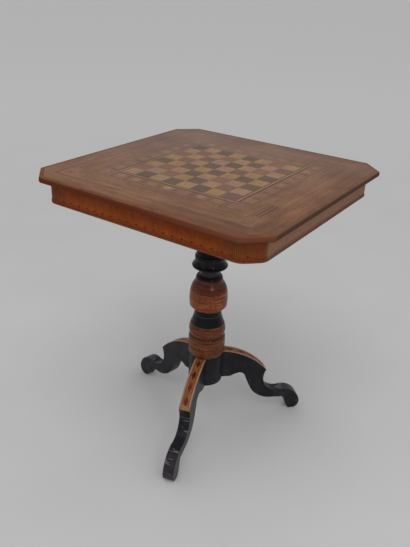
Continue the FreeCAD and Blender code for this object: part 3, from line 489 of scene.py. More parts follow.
def around(wood, slope=0.0):
    """Turns the grain to run along the side of the table that the point is nearest to."""
    far_x, far_y = abs(wood.x), abs(wood.y)
    lean = (far_x - MITRE_START) * slope
    on_sides = far_x > far_y + lean
    on_ends = 1.0 - on_sides
    along = on_sides * wood.y + on_ends * wood.x
    across = on_sides * wood.x + on_ends * wood.y
    return wood.turn(along, across, wood.z)


def furthest(wood):
    """The larger of the distances from the middle, which is constant along a line round it."""
    return abs(wood.x).math("MAXIMUM", abs(wood.y))


def left_or_right(wood):
    """1 on the two sides of the top, and 0 at its front and its back."""
    return abs(wood.x) > abs(wood.y)


def strip_finish(name, width, stretch, dark, middle, light, age=0.5, slope=0.0):
    wood = around(Wood(name), slope)
    colour = wood.aged(wood.painted_far_sheen(wood.figure(width, stretch, dark, middle, light)), age)
    handled = wood.smooth(furthest(wood), HANDLED_START, HANDLED_FULL)
    weight = HANDLED_WEIGHT - left_or_right(wood) * HANDLED_LESS_ON_SIDES
    colour = wood.tint(handled * weight, colour, HANDLED_TINT)
    near_corner = wood.smooth(wood.x - wood.y, NEAR_CORNER_START, NEAR_CORNER_FULL)
    return wood.polished(wood.tint(near_corner, colour, NEAR_CORNER_TINT))


light_line = strip_finish("light_line_veneer", 3 * MM, 20, rgb(114, 84, 62), rgb(132, 99, 75),
                          rgb(146, 112, 88))
dark_line = strip_finish("dark_line_veneer", 2 * MM, 20, rgb(54, 31, 23), rgb(66, 41, 31),
                         rgb(80, 54, 42))
field = strip_finish("field_veneer", 7 * MM, 12, rgb(98, 68, 50), rgb(118, 84, 61),
                     rgb(134, 98, 72))
margin = strip_finish("margin_veneer", 12 * MM, 9, rgb(96, 61, 43), rgb(114, 76, 53),
                      rgb(130, 90, 64), 0.6, MITRE_SLOPE)
print("the mitres of the margin start at", round(MITRE_START * 1000, 1), "mm")

# %% [markdown]
# ## The mosaic band
# Light lozenges lie in a row, with dark waisted pieces between them, and the strip is edged with a
# light line and a dark one. The strips are laid like a pinwheel, so each one starts at its own
# corner. Four masks pick the strip that a point is in, and the distance along it gives the number
# of the lozenge and the place within its share.

# %% Mosaic ground
LOZENGES_PER_STRIP = 8
BORDER_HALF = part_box("dark_stringing")[1].x
STRIP_PITCH = (BORDER_HALF + BOARD_HALF) / LOZENGES_PER_STRIP
STRIP_HALF = 14.5 * MM
STRIP_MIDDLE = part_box("mosaic_ground")[1].x - STRIP_HALF
WAIST_HALF = 4.5 * MM
WAIST_SOFT = 0.5 * MM
WAIST_FLARE = 0.25
LIGHT_EDGING_OUT = 11.3 * MM
DARK_EDGING_START = 13.2 * MM
DARK_EDGING_FULL = 13.9 * MM


def along_strip(paint):
    """How far a point is along its own pinwheel strip."""
    x, y = paint.x, paint.y
    front = (y < -BOARD_HALF) * (x > -BOARD_HALF)
    right = (x > BOARD_HALF) * (y > -BOARD_HALF)
    back = (y > BOARD_HALF) * (x < BOARD_HALF)
    left = (x < -BOARD_HALF) * (y < BOARD_HALF)
    return (front - back) * x + (right - left) * y + BOARD_HALF


def mosaic_ground():
    wood = around(Wood("mosaic_ground_veneer"))
    colour = wood.figure(5 * MM, 6, rgb(104, 72, 56), rgb(120, 86, 68), rgb(132, 98, 78))
    between = (0.5 - from_middle(along_strip(wood), STRIP_PITCH)) * STRIP_PITCH
    out = abs(furthest(wood) - STRIP_MIDDLE)
    waisted = wood.smooth(between - out * WAIST_FLARE, WAIST_HALF + WAIST_SOFT,
                          WAIST_HALF - WAIST_SOFT)
    colour = wood.mix(waisted * 0.45, colour, rgb(84, 56, 48))
    light_edging = wood.line(out - LIGHT_EDGING_OUT, 1.3 * MM, 2.3 * MM)
    colour = wood.mix(light_edging * 0.6, colour, rgb(140, 104, 80))
    dark_edging = wood.smooth(out, DARK_EDGING_START, DARK_EDGING_FULL)
    colour = wood.mix(dark_edging * 0.7, colour, rgb(72, 45, 35))
    return wood.polished(wood.aged(wood.painted_far_sheen(colour), 0.4))


ground = mosaic_ground()
print("a lozenge every", round(STRIP_PITCH * 1000, 1), "mm")

# %% [markdown]
# The lozenges are offcuts, so each one has its own tone. The number of the lozenge and the number
# of its side make the random value, so that the four rows don't repeat each other.

# %% Mosaic lozenges


def mosaic_lozenges():
    wood = around(Wood("mosaic_lozenge_veneer"))
    number = (along_strip(wood) / STRIP_PITCH).math("FLOOR")
    side = (wood.x > BOARD_HALF) + (wood.y > BOARD_HALF) * 2.0 - (wood.x < -BOARD_HALF) * 3.0
    chance = wood.cells(wood.vector(number, side, 1.0))
    base = wood.ramp(chance, (0.1, rgb(122, 90, 70)), (0.5, rgb(130, 98, 74)),
                     (0.9, rgb(146, 114, 88)))
    colour = wood.streaked(base, wood.make_fibres(), (0.8, 0.78, 0.75), (1.15, 1.13, 1.1))
    return wood.polished(wood.aged(wood.painted_far_sheen(colour), 0.3))


lozenges = mosaic_lozenges()
print("four strips carry", LOZENGES_PER_STRIP, "lozenges each")

# %% [markdown]
# ## The striped band
# Outside the plain field runs a band of thin dark and light lines. A line that runs round the
# board is where the larger of the two distances from the middle is constant, so one number, how
# far out a point is, draws all four sides. Towards the corners the lines are inlaid more boldly
# in short panels, and most of all on the left and the right.

# %% Stripes
BAND_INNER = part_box("inner_field")[1].x
BAND_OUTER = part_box("line_band")[1].x
STRIPES = 3
STRIPE_PITCH = (BAND_OUTER - BAND_INNER) / STRIPES
PANEL_START = 0.122
PANEL_FULL = PANEL_START + 1 * MM
PANEL_END = 0.190
STRIPE_WEIGHT = 0.3
PANEL_WEIGHT = 0.15
PANEL_MORE_ON_SIDES = 0.35


def striped_band():
    wood = around(Wood("striped_veneer"))
    colour = wood.figure(4 * MM, 16, rgb(104, 72, 52), rgb(124, 88, 64), rgb(140, 102, 76))
    dark = wood.smooth(from_middle(furthest(wood) - BAND_INNER, STRIPE_PITCH), 0.22, 0.3)
    far = abs(wood.along)
    panel = wood.smooth(far, PANEL_START, PANEL_FULL) * (far < PANEL_END)
    bold = left_or_right(wood) * PANEL_MORE_ON_SIDES + PANEL_WEIGHT
    colour = wood.mix(dark * (panel * bold + STRIPE_WEIGHT), colour, rgb(74, 44, 32))
    return wood.polished(wood.aged(wood.painted_far_sheen(colour), 0.5))


stripes = striped_band()
print("the band is", round((BAND_OUTER - BAND_INNER) * 1000, 1), "mm wide, in", STRIPES, "stripes")

# %% [markdown]
# Each corner of the band is a small square: a frame of one dark line with slanting bars inside.
# The frame is where the larger distance from the middle of the square is constant. The bars are
# where the sum of the two distances falls on a repeat.

# %% Corner squares
CORNER_MIDDLE = (BAND_INNER + BAND_OUTER) / 2
CORNER_FRAME_HALF = 10.0 * MM
SLANT_PITCH = 4.0 * MM


def corner_squares():
    wood = Wood("corner_square_veneer")
    colour = wood.figure(4 * MM, 10, rgb(108, 76, 54), rgb(128, 92, 64), rgb(144, 106, 76))
    u, v = [abs(place) - CORNER_MIDDLE for place in (wood.x, wood.y)]
    out = abs(u).math("MAXIMUM", abs(v))
    frame_line = wood.line(out - CORNER_FRAME_HALF, 0.6 * MM, 1.4 * MM)
    bars = wood.smooth(from_middle(u + v, SLANT_PITCH), 0.2, 0.3) * (out < CORNER_FRAME_HALF)
    colour = wood.mix(frame_line.math("MAXIMUM", bars) * 0.7, colour, rgb(84, 54, 42))
    return wood.polished(wood.aged(wood.painted_far_sheen(colour), 0.4))


corner_square = corner_squares()
print("the corner squares are", round((BAND_OUTER - BAND_INNER) * 1000, 1), "mm wide")

# %% [markdown]
# ## The frieze and its bead
# The veneer of the frieze stands upright, so its grain runs up and down. The front and the back
# are orange, and the two sides are ribbed and painted a greyer brown, which is painted sheen.
# Round the canted corners the colour is duller and short upright bars are inlaid. Everywhere it
# is painted lighter low down, which leaves its upper part darker as painted shade under the
# overhang of the top, and a narrow redder band ends it at the foot.
#
# The difference of the two plan distances runs smoothly from a face, round the canted corner, to
# the next face, which makes it the right measure for the bars and for the change of colour.

# %% Frieze
frieze_low, frieze_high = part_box("frieze_veneer")
CORNER_REACH = 95 * MM
FRIEZE_BAR_PITCH = 4.6 * MM
RIB_PITCH = 6.0 * MM
FOOT_BAND = 7 * MM
SIDE_START = 36 * MM
SIDE_BLEND = 16 * MM


def past_corner(wood):
    """Below 0 at the front and the back, 0 half way round a corner, above 0 on the sides."""
    return abs(wood.x) - abs(wood.y)


def side_share(wood, start=SIDE_START):
    """0 at the front, the back and most of each corner, rising to 1 on the two sides."""
    return wood.smooth(past_corner(wood), start, start + SIDE_BLEND)


def rail_polish(wood, colour):
    """The frieze and its bead have lost most of their polish."""
    wood.relief(wood.fibres, 0.06 * MM)
    return wood.finish(colour, wood.fibres * 0.1 + 0.4, Specular_IOR_Level=0.08)


def frieze_finish():
    wood = Wood("frieze_veneer")
    wood.turn(wood.z, wood.x, wood.y)
    colour = wood.figure(7 * MM, 5, rgb(112, 47, 10), rgb(124, 56, 16), rgb(138, 68, 24))
    cloud = wood.smooth(wood.noise(wood.place, 9.0, 3.0), 0.4, 0.65)
    colour = wood.mix(cloud * 0.4, colour, rgb(108, 40, 10))
    # Painted shade: lighter low down, so the frieze reads darker up under the overhang of the top.
    low_down = wood.smooth(wood.z, frieze_low.z + 30 * MM, frieze_low.z + 8 * MM)
    colour = wood.mix(low_down * 0.35, colour, rgb(150, 78, 28))
    near = wood.line(past_corner(wood), CORNER_REACH * 0.5, CORNER_REACH)
    colour = wood.mix(near * 0.35, colour, rgb(104, 66, 44))
    bars = wood.smooth(from_middle(past_corner(wood), FRIEZE_BAR_PITCH), 0.2, 0.32)
    colour = wood.mix(near * (bars * 0.5 + 0.08), colour, rgb(74, 38, 22))
    # Painted sheen: the two sides are painted a greyer brown.
    sides = side_share(wood)
    colour = wood.mix(sides * 0.9, colour, rgb(138, 104, 86))
    ribs = wood.smooth(from_middle(wood.y, RIB_PITCH), 0.25, 0.4)
    colour = wood.mix(ribs * sides * 0.5, colour, rgb(90, 62, 50))
    foot_band = frieze_low.z + FOOT_BAND
    foot = wood.smooth(wood.z, foot_band + 1 * MM, foot_band)
    colour = wood.mix(foot * 0.45, colour, rgb(96, 40, 22))
    return rail_polish(wood, wood.aged(colour, 0.3))


def bead_finish():
    wood = around(Wood("bead_wood"))
    colour = wood.figure(2 * MM, 12, rgb(84, 50, 28), rgb(106, 63, 37), rgb(126, 80, 50))
    # Painted sheen: on the two sides the bead takes the greyer brown of the frieze there.
    return rail_polish(wood, wood.mix(side_share(wood) * 0.85, colour, rgb(108, 78, 62)))


frieze = frieze_finish()
bead = bead_finish()
print("the frieze is", round((frieze_high.z - frieze_low.z) * 1000, 1), "mm high")

# %% [markdown]
# ## The mouldings
# The mouldings are solid wood with the grain along each length. Their flat upper face is as brown
# as the veneer beside it, with an edge that is rubbed pale in patches. Below that edge the rounded
# nose and the face under it are painted redder and darker, as painted shade under the edge of the
# top: a little paler towards the near corner, and grey brown on the two sides. A dark line is
# painted underneath, where the moulding meets the frieze, as painted shade. All of this goes by
# the depth below the surface of the top.

# %% Mouldings
TOP_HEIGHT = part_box("edge_moulding_front")[1].z
MARGIN_BROWN = rgb(102, 75, 60)
NOSE_FRONT_SHADE = rgb(90, 42, 22)
NOSE_SHADE_NEAR_CORNER = rgb(112, 68, 50)
NOSE_SIDES_SHADE = rgb(74, 49, 37)
NOSE_PALER_START = -0.05
NOSE_PALER_FULL = 0.27


def below_top(wood, start, full):
    """A soft step between two depths below the surface of the top, in millimetres."""
    return wood.smooth(wood.z, TOP_HEIGHT - start * MM, TOP_HEIGHT - full * MM)


def moulding_finish():
    wood = around(Wood("moulding_wood"))
    colour = wood.figure(3 * MM, 14, rgb(86, 54, 38), rgb(102, 67, 48), rgb(116, 80, 59))
    sides = side_share(wood, SIDE_START + 8 * MM)
    colour = wood.painted_far_sheen(wood.mix(sides * 0.75, colour, MARGIN_BROWN))
    # Painted shade on the nose: dark red at the front and back, paler towards the near corner, dark
    # brown on the sides.
    nearer = wood.smooth(wood.x, NOSE_PALER_START, NOSE_PALER_FULL)
    nose_shade = wood.mix(nearer * 0.7, NOSE_FRONT_SHADE, NOSE_SHADE_NEAR_CORNER)
    nose_shade = wood.mix(sides, nose_shade, NOSE_SIDES_SHADE)
    colour = wood.mix(below_top(wood, 0.4, 3.2) * 0.92, colour, nose_shade)
    # Painted shade: a dark line low on the moulding, where it meets the frieze.
    colour = wood.mix(below_top(wood, 12.5, 14.0) * 0.4, colour, rgb(58, 26, 16))
    patches = wood.smooth(wood.noise(wood.place, 30.0, 4.0), 0.42, 0.62)
    colour = wood.mix(below_top(wood, 2.0, 0.3) * patches * 0.3, colour, rgb(122, 88, 66))
    wood.relief(wood.fibres, 0.08 * MM)
    return wood.finish(colour, wood.fibres * 0.12 + 0.4, Specular_IOR_Level=0.02)


moulding = moulding_finish()
print("the surface of the top is at", round(TOP_HEIGHT * 1000, 1), "mm")

# %% [markdown]
# ## The turned column
# Rings cut in the drums are painted dark: partly the old polish they hold, partly painted shade in
# their hollows. Each has a height and half a width, both in millimetres, and a strength. On a turned
# piece the streaks go round it, so the noise is fine in height and coarse in plan. Small round
# flecks are the eyes of the wood. The head of the upper drum and all of the lower one are darker and
# redder, and the foot of the lower drum is painted darker where it rounds under, as painted shade.

# %% Drums
GROOVES = ((236.7, 0.9, 0.35), (257.7, 1.4, 0.45), (267.6, 4.4, 0.6), (292.0, 1.2, 0.3),
           (376.2, 0.9, 0.35), (386.5, 0.8, 0.25), (397.2, 1.2, 0.4))
RED_WOOD_START = 0.395
LOWER_DRUM_TOP = 0.300
LOWER_DRUM_FOOT = 0.211
EYES_PER_METRE = 120.0
SOFT_STEP = 20 * MM


def turned_finish():
    wood = Wood("olive_wood")
    streaks = wood.plan_noise(22, 130, 3.0, 0.5)
    rings = wood.plan_noise(30, 620, 2.0)
    tone = streaks * 0.5 + rings * 0.5
    orange = wood.ramp(tone, (0.34, rgb(84, 38, 16)), (0.50, rgb(120, 62, 30)),
                       (0.66, rgb(158, 92, 50)))
    red = wood.ramp(tone, (0.34, rgb(56, 22, 12)), (0.50, rgb(84, 36, 18)),
                    (0.66, rgb(112, 54, 28)))
    colour = wood.mix(wood.smooth(wood.z, RED_WOOD_START, RED_WOOD_START + 6 * MM), orange, red)
    lower_drum = wood.smooth(wood.z, LOWER_DRUM_TOP + SOFT_STEP, LOWER_DRUM_TOP)
    colour = wood.mix(lower_drum * 0.5, colour, rgb(64, 32, 20))
    eyes = wood.node("ShaderNodeTexVoronoi", {}, {"Vector": wood.place, "Scale": EYES_PER_METRE})
    colour = wood.mix(wood.smooth(eyes, 0.34, 0.2) * 0.65, colour, rgb(44, 18, 10))
    # The rings are painted dark: partly old polish in them, partly painted shade in their hollows.
    for height, half, strength in GROOVES:
        groove = wood.line(wood.z - height * MM, half * 0.5 * MM, half * 1.3 * MM)
        colour = wood.mix(groove * strength, colour, rgb(30, 10, 4))
    # Painted shade where the foot of the lower drum rounds under.
    foot = wood.smooth(wood.z, LOWER_DRUM_FOOT + 11 * MM, LOWER_DRUM_FOOT)
    colour = wood.mix(foot * 0.5, colour, rgb(36, 14, 12))
    wood.relief(rings, 0.05 * MM)
    return wood.finish(colour, streaks * 0.1 + 0.3, Specular_IOR_Level=0.08,
                       Coat_Weight=0.3, Coat_Roughness=0.13)


olive = turned_finish()
print("the drums carry", len(GROOVES), "dark rings")

# %% [markdown]
# ## Ebonised wood
# Ebonising is black stain under thin polish. It has a cold, bluish tone, fine open pores, and
# greyish brown patches where it has been handled or kicked. Below the drums it is dusty. A pale
# line on the ring of the waist is a painted highlight, and the collar under the capital is painted
# lighter, as painted light. The legs are scuffed most near the floor, and their upper faces carry
# light rubs across them.
#
# Each leg has its own direction, so its own two coordinates: outwards and sideways. A point
# belongs to the leg that it lies beside.

# %% Coordinates of the legs
FRONT_LEG_ANGLE = -73.2
LEG_ANGLES = [math.radians(FRONT_LEG_ANGLE + turn) for turn in (0, 120, 240)]
LEG_HALF = 13.75 * MM
BESIDE_LEG = 16 * MM


def leg_coordinates(wood):
    """How far out along its leg a point is, and how far sideways from the middle of it."""
    outs, sides = [], []
    for angle in LEG_ANGLES:
        reach = wood.x * math.cos(angle) + wood.y * math.sin(angle)
        aside = wood.y * math.cos(angle) - wood.x * math.sin(angle)
        mine = (abs(aside) < BESIDE_LEG) * (reach > 0.0)
        outs.append(mine * reach)
        sides.append(mine * aside)
    return outs[0] + outs[1] + outs[2], sides[0] + sides[1] + sides[2]


print("three legs at", [round(math.degrees(angle), 1) for angle in LEG_ANGLES], "degrees")

# %% Black finish
DUSTY_BELOW = 0.20
WAIST_RING = 0.327
COLLAR_HEIGHT = 0.442
SCUFFED_BELOW = 0.16
RUBBED_BELOW = 0.105
RUBBED_PAST = 0.1


def ebonised_finish():
    wood = Wood("ebonised_wood")
    out, side = leg_coordinates(wood)
    cloud = wood.noise(wood.place, 22.0, 5.0)
    clean = wood.ramp(cloud, (0.35, rgb(10, 9, 12)), (0.55, rgb(15, 14, 17)),
                      (0.72, rgb(26, 24, 28)))
    dusty = wood.ramp(cloud, (0.35, rgb(22, 21, 26)), (0.55, rgb(31, 30, 35)),
                      (0.72, rgb(46, 43, 48)))
    colour = wood.mix(wood.smooth(wood.z, DUSTY_BELOW + SOFT_STEP, DUSTY_BELOW), clean, dusty)
    # A painted highlight on the ring of the waist.
    painted_ring_highlight = wood.line(wood.z - WAIST_RING, 0.4 * MM, 1.6 * MM)
    colour = wood.mix(painted_ring_highlight * 0.6, colour, rgb(66, 58, 64))
    # Painted light: the collar under the capital is painted lighter.
    collar_painted_light = wood.line(wood.z - COLLAR_HEIGHT, 4 * MM, 12 * MM)
    colour = wood.mix(collar_painted_light * 0.5, colour, rgb(66, 52, 58))
    scuffs = wood.plan_noise(90, 30, 5.0, 0.4)
    low_down = wood.smooth(wood.z, SCUFFED_BELOW, 0.0) * 0.3 + 0.15
    colour = wood.mix(wood.smooth(scuffs, 0.58, 0.72) * low_down, colour, rgb(78, 68, 66))
    rubs = wood.smooth(wood.plan_noise(25, 240, 3.0), 0.57, 0.66)
    below = wood.smooth(wood.z, RUBBED_BELOW + SOFT_STEP, RUBBED_BELOW)
    upper_face = (abs(side) < LEG_HALF - 0.3 * MM) * below
    above_foot = wood.smooth(wood.z, 30 * MM, 60 * MM) * 0.5 + 0.3
    rubbed = rubs * upper_face * (out > RUBBED_PAST)
    colour = wood.mix(rubbed * above_foot, colour, rgb(106, 97, 102))
    wood.relief(wood.plan_noise(900, 300, 2.0), 0.06 * MM)
    return wood.finish(colour, scuffs * 0.2 + 0.25, Specular_IOR_Level=0.1,
                       Coat_Weight=0.16, Coat_Roughness=0.1)


ebonised = ebonised_finish()
print("the black finish is ready")

# %% [markdown]
# ## The veneered crests of the legs
# The same coordinates lay the grain along each crest. The pale lines near both edges, with a dark
# one inside them, are where the sideways distance is large.

# %% Leg veneers
PALE_LINE = 9.6 * MM
DARK_LINE = PALE_LINE - 0.5 * MM
LEG_RELIEF = 0.06 * MM


def crest_wood(name):
    """Wood whose grain runs down the crest of a leg, and the distance from its middle line."""
    wood = Wood(name)
    out, side = leg_coordinates(wood)
    return wood.turn(out - wood.z, side, out + wood.z), abs(side)


def leg_veneer_finish():
    wood, edge = crest_wood("leg_veneer")
    colour = wood.figure(4 * MM, 14, rgb(98, 56, 30), rgb(124, 76, 44), rgb(146, 98, 60))
    pale = wood.smooth(edge, PALE_LINE - 0.2 * MM, PALE_LINE + 0.2 * MM)
    dark = wood.line(edge - DARK_LINE, 0.3 * MM, 0.7 * MM)
    colour = wood.mix(pale * 0.8, colour, rgb(158, 130, 106))
    colour = wood.mix(dark * 0.7, colour, rgb(58, 28, 20))
    return wood.polished(wood.aged(colour, 0.45), LEG_RELIEF)


def leg_tip_finish():
    wood = crest_wood("leg_tip_veneer")[0]
    colour = wood.figure(3 * MM, 10, rgb(118, 79, 47), rgb(141, 102, 67), rgb(160, 124, 86))
    return wood.polished(wood.aged(colour, 0.3), LEG_RELIEF)


leg_veneer = leg_veneer_finish()
leg_tip = leg_tip_finish()
print("the pale lines start", round(PALE_LINE * 1000, 1), "mm from the middle")

# %% [markdown]
# ## Plain woods and metals underneath
# The pieces under the top never saw polish. The board is pale softwood, the bearers and the block
# are beech with its short flecks, and the fittings are iron, steel and brass with a dull tarnish.

# %% Plain finishes


def plain_wood(name, width, stretch, dark, middle, light, flecks=0.0):
    wood = Wood(name)
    colour = wood.figure(width, stretch, dark, middle, light)
    if flecks:
        mark = wood.smooth(wood.bands(1.1 * MM, 5.0, 1.0), 0.62, 0.68)
        colour = wood.mix(mark * flecks, colour, dark)
    dust = wood.smooth(wood.noise(wood.place, 14.0, 4.0), 0.45, 0.7)
    colour = wood.mix(dust * 0.4, colour, rgb(96, 80, 66))
    wood.relief(wood.fibres, 0.1 * MM)
    return wood.finish(colour, wood.fibres * 0.15 + 0.6, Specular_IOR_Level=0.25)


def metal_finish(name, bright, dull, metallic, roughness):
    paint = Paint(name)
    tarnish = paint.smooth(paint.noise(paint.place, 400.0, 4.0), 0.4, 0.65)
    paint.relief(paint.noise(paint.place, 2500.0, 2.0), 0.03 * MM)
    return paint.finish(paint.mix(tarnish, bright, dull), tarnish * 0.25 + roughness,
                        Metallic=metallic)


softwood = plain_wood("softwood", 5 * MM, 30, rgb(128, 92, 58), rgb(152, 116, 78),
                      rgb(168, 134, 94))
beech = plain_wood("beech", 4 * MM, 16, rgb(122, 84, 56), rgb(146, 106, 74), rgb(160, 122, 88),
                   flecks=0.4)
iron = metal_finish("iron", rgb(92, 88, 84), rgb(58, 42, 34), 0.9, 0.5)
steel = metal_finish("steel_screw", rgb(140, 138, 134), rgb(86, 80, 74), 1.0, 0.35)
brass = metal_finish("brass_screw", rgb(176, 140, 78), rgb(110, 84, 48), 1.0, 0.32)
print("plain woods and metals are ready")

# %% [markdown]
# ## Dressing the CAD pieces
# Each piece of the record names the finish it is made in, so one table of finishes dresses them
# all. The screw that carries the button is brass, and the others are steel.

# %% Give every piece its finish
finishes = {
    "softwood": softwood, "beech": beech, "moulding_wood": moulding,
    "light_square_veneer": light_square, "dark_square_veneer": dark_square,
    "light_line_veneer": light_line, "dark_line_veneer": dark_line,
    "mosaic_ground_veneer": ground, "mosaic_lozenge_veneer": lozenges,
    "field_veneer": field, "striped_veneer": stripes, "corner_square_veneer": corner_square,
    "margin_veneer": margin, "frieze_veneer": frieze, "bead_wood": bead,
    "ebonised_wood": ebonised, "olive_wood": olive,
    "leg_veneer": leg_veneer, "leg_tip_veneer": leg_tip,
    "iron": iron, "steel_screw": steel, "brass_screw": brass,
}
for piece in record["subparts"]:
    mesh = nodes[piece["node"]].data
    mesh.materials.clear()
    mesh.materials.append(finishes[piece["material_slot"]])
print(len(record["subparts"]), "pieces in", len(finishes), "finishes")

# %% [markdown]
# ## Rows of inlays
# Small dark leaves run along the foot of the frieze, and longer red ones climb the crest of each
# leg. One Geometry Nodes tree lays both rows. A pointed leaf is cut from a small grid, bent to
# the curve of the surface and thickened, then set at equal steps along every path. Each point
# of a path carries the way across it, and the cross product with the tangent faces outwards.

# %% The tree that lays a row
LEAF_COLUMNS = 9
LEAF_ROWS = 3
LEAF_TAPER = 1.9
ROW_INPUTS = (("Paths", "Geometry"), ("Pitch", "Float"), ("Length", "Float"), ("Width", "Float"),
              ("Bend", "Float"), ("Thickness", "Float"), ("Seed", "Int"), ("Material", "Material"))


def align(lay, axis, vector, pivot="AUTO", **earlier):
    """Turns an axis of a leaf to a vector, on top of an earlier rotation if one is given."""
    return lay.node("FunctionNodeAlignRotationToVector", {"axis": axis, "pivot_axis": pivot},
                    {"Vector": vector, **earlier})


def pointed_leaf(lay, wire):
    """A flat grid of unit size, drawn to a point at both ends and bent along its length."""
    x, y, z = lay.split(lay.node("GeometryNodeInputPosition", {}, {}))
    run = x * wire["Length"]
    pointed = lay.vector(x, y * (1.0 - abs(x) * LEAF_TAPER), run * run * wire["Bend"] * -0.5)
    grid = lay.node("GeometryNodeMeshGrid", {}, {
        "Size X": 1.0, "Size Y": 1.0, "Vertices X": LEAF_COLUMNS, "Vertices Y": LEAF_ROWS})
    leaf = lay.node("GeometryNodeSetPosition", {}, {"Geometry": grid, "Position": pointed})
    return lay.node("GeometryNodeExtrudeMesh", {}, {
        "Mesh": leaf, "Offset Scale": wire["Thickness"], "Individual": False})


def row_tree():
    tree = bpy.data.node_groups.new("inlay_row", "GeometryNodeTree")
    for name, kind in ROW_INPUTS:
        tree.interface.new_socket(name, in_out="INPUT", socket_type="NodeSocket" + kind)
    tree.interface.new_socket("Inlays", in_out="OUTPUT", socket_type="NodeSocketGeometry")
    lay = Nodes(tree)
    given = tree.nodes.new("NodeGroupInput").outputs
    wire = {name: Wire(lay, given[name]) for name, kind in ROW_INPUTS}

    curve = lay.node("GeometryNodeMeshToCurve", {}, {"Mesh": wire["Paths"]})
    steps = lay.node("GeometryNodeCurveToPoints", {"mode": "LENGTH"},
                     {"Curve": curve, "Length": wire["Pitch"]})
    tangent = Wire(lay, steps.socket.node.outputs["Tangent"])
    across = lay.node("GeometryNodeInputNamedAttribute", {"data_type": "FLOAT_VECTOR"},
                      {"Name": "across"})
    outward = lay.node("ShaderNodeVectorMath", {"operation": "CROSS_PRODUCT"}, (tangent, across))
    turned = align(lay, "X", tangent, "Z", Rotation=align(lay, "Z", outward))
    placed = lay.node("GeometryNodeInstanceOnPoints", {}, {
        "Points": steps, "Instance": pointed_leaf(lay, wire), "Rotation": turned,
        "Scale": lay.vector(wire["Length"], wire["Width"], 1.0)})
    chance = lay.node("FunctionNodeRandomValue", {"data_type": "FLOAT"}, {"Seed": wire["Seed"]}, 1)
    toned = lay.node("GeometryNodeStoreNamedAttribute", {"data_type": "FLOAT", "domain": "INSTANCE"},
                     {"Geometry": placed, "Name": "tone", "Value": chance})
    whole = lay.node("GeometryNodeRealizeInstances", {}, {"Geometry": toned})
    dressed = lay.node("GeometryNodeSetMaterial", {}, {
        "Geometry": whole, "Material": wire["Material"]})
    lay.plug(tree.nodes.new("NodeGroupOutput").inputs["Inlays"], dressed)
    return tree


inlay_row = row_tree()
print("the tree has", len(inlay_row.nodes), "nodes")

# %% [markdown]
# The paths are open lines of points. The frieze has one on the front, the back and each canted
# flat, between the rounded bends, and the two sides stay plain. The lines run anticlockwise, so
# with the way up as the way across, the leaves face out.

# %% Paths on the frieze
CANT = 34.5 * MM
BEND = 11.6 * MM
ROW_HEIGHT = frieze_low.z + 9.0 * MM
ROW_PITCH = 22.0 * MM
SUNK = 0.15 * MM
PLAIN_FACES = (2, 6)


def path_object(name, lines):
    """Open lines of points, each with the way across it."""
    points, edges, across = [], [], []
    for line, side in lines:
        first = len(points)
        points += line
        edges += [(first + step, first + step + 1) for step in range(len(line) - 1)]
        across += [part for point in line for part in side]
    thing = mesh_object(name, points, [], edges)
    attribute = thing.data.attributes.new("across", "FLOAT_VECTOR", "POINT")
    attribute.data.foreach_set("vector", across)
    return thing


def frieze_lines():
    """Lines round the frieze, each set in from its ends by the bend and part of a step."""
    x, y = frieze_high.x - SUNK, frieze_high.y - SUNK
    corners = [(-x + CANT, -y), (x - CANT, -y), (x, -y + CANT), (x, y - CANT),
               (x - CANT, y), (-x + CANT, y), (-x, y - CANT), (-x, -y + CANT)]
    corners = [Vector((*corner, ROW_HEIGHT)) for corner in corners]
    lines = []
    for number, (start, end) in enumerate(zip(corners, corners[1:] + corners[:1])):
        if number not in PLAIN_FACES:
            inset = (end - start).normalized() * (BEND + ROW_PITCH / 6)
            lines.append(([start + inset, end - inset], (0, 0, 1)))
    return lines


frieze_row = path_object("inlay_frieze_row", frieze_lines())
print(len(frieze_row.data.edges), "lines on the frieze")

# %% [markdown]
# Each leg has one arc along its crest. It follows the circle that the crest is cut to, in the
# upright plane of the leg, and the way across it is level.

# %% Paths on the legs
CREST_CENTRE_OUT = 13.5 * MM
CREST_CENTRE_UP = 19.14 * MM
CREST_RADIUS = 194.7 * MM
CREST_START = 75.0
CREST_PITCH = 26 * MM
CREST_LEAVES = 5
ARC_STEPS = 24


def crest_arc(out):
    """Points down the crest of the leg that reaches out this way."""
    turn = math.degrees(CREST_PITCH * (CREST_LEAVES - 1) / CREST_RADIUS)
    radius = CREST_RADIUS - SUNK
    arc = []
    for step in range(ARC_STEPS + 1):
        angle = math.radians(CREST_START - turn * step / ARC_STEPS)
        up = Vector((0, 0, CREST_CENTRE_UP + radius * math.sin(angle)))
        arc.append(out * (CREST_CENTRE_OUT + radius * math.cos(angle)) + up)
    return arc


crest_lines = [(crest_arc(Vector((math.cos(angle), math.sin(angle), 0))),
                (-math.sin(angle), math.cos(angle), 0)) for angle in LEG_ANGLES]
crest_row = path_object("inlay_leg_lozenges", crest_lines)
print(len(crest_lines), "arcs of", ARC_STEPS, "steps on the legs")

# %% [markdown]
# The result of the tree becomes a plain mesh before it joins the body it rides on. The random
# tone of each leaf is kept as an attribute, which the finish reads. A leaf is sunk a little into
# the surface that it lies on, and stands proud of it by about a tenth of a millimetre.

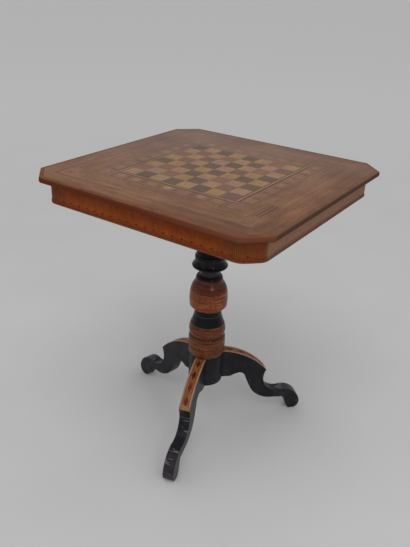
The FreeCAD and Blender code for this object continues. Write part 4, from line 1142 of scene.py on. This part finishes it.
# %% Lay the rows
PROUD = 0.12 * MM


def inlay_finish(name, dark, light, **gloss):
    wood = Wood(name)
    tone = wood.node("ShaderNodeAttribute", {"attribute_name": "tone"}, {}, "Fac")
    fibres = wood.noise(wood.place, 900.0, 2.0)
    colour = wood.mix(tone * 0.7 + fibres * 0.3, dark, light)
    wood.relief(fibres, 0.04 * MM)
    return wood.finish(colour, fibres * 0.12 + 0.34, **gloss)


def corners_of(mesh):
    """The lowest and the highest corner of a mesh."""
    spans = list(zip(*(vertex.co for vertex in mesh.vertices)))
    return [min(span) for span in spans], [max(span) for span in spans]


def lay_row(thing, body, slot, **values):
    """Runs the tree on the paths, and makes the result a plain mesh on a body."""
    modifier = thing.modifiers.new("inlays", "NODES")
    modifier.node_group = inlay_row
    sockets = {item.name: item.identifier for item in inlay_row.interface.items_tree}
    for name, value in values.items():
        modifier[sockets[name]] = value
    graph = bpy.context.evaluated_depsgraph_get()
    mesh = bpy.data.meshes.new_from_object(thing.evaluated_get(graph), depsgraph=graph,
                                           preserve_all_data_layers=True)
    thing.modifiers.remove(modifier)
    mesh.materials.clear()
    mesh.materials.append(values["Material"])
    mesh.polygons.foreach_set("material_index", [0] * len(mesh.polygons))
    thing.data = mesh
    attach(thing, body)
    low, high = [[round(side * 1000) for side in corner] for corner in corners_of(mesh)]
    print(thing.name, len(mesh.polygons), "faces from", low, "to", high, "mm")


lay_row(frieze_row, "top", "dark_line_veneer", Pitch=ROW_PITCH, Length=6.8 * MM, Width=4.2 * MM,
        Bend=0.0, Thickness=SUNK + PROUD, Seed=4,
        Material=inlay_finish("frieze_inlay", rgb(74, 25, 10), rgb(100, 40, 15),
                              Specular_IOR_Level=0.08))
lay_row(crest_row, "pedestal", "mosaic_ground_veneer", Pitch=CREST_PITCH, Length=25 * MM,
        Width=11 * MM, Bend=1 / CREST_RADIUS, Thickness=SUNK + PROUD, Seed=9,
        Material=inlay_finish("leg_inlay", rgb(70, 20, 12), rgb(98, 36, 20), **POLISH))
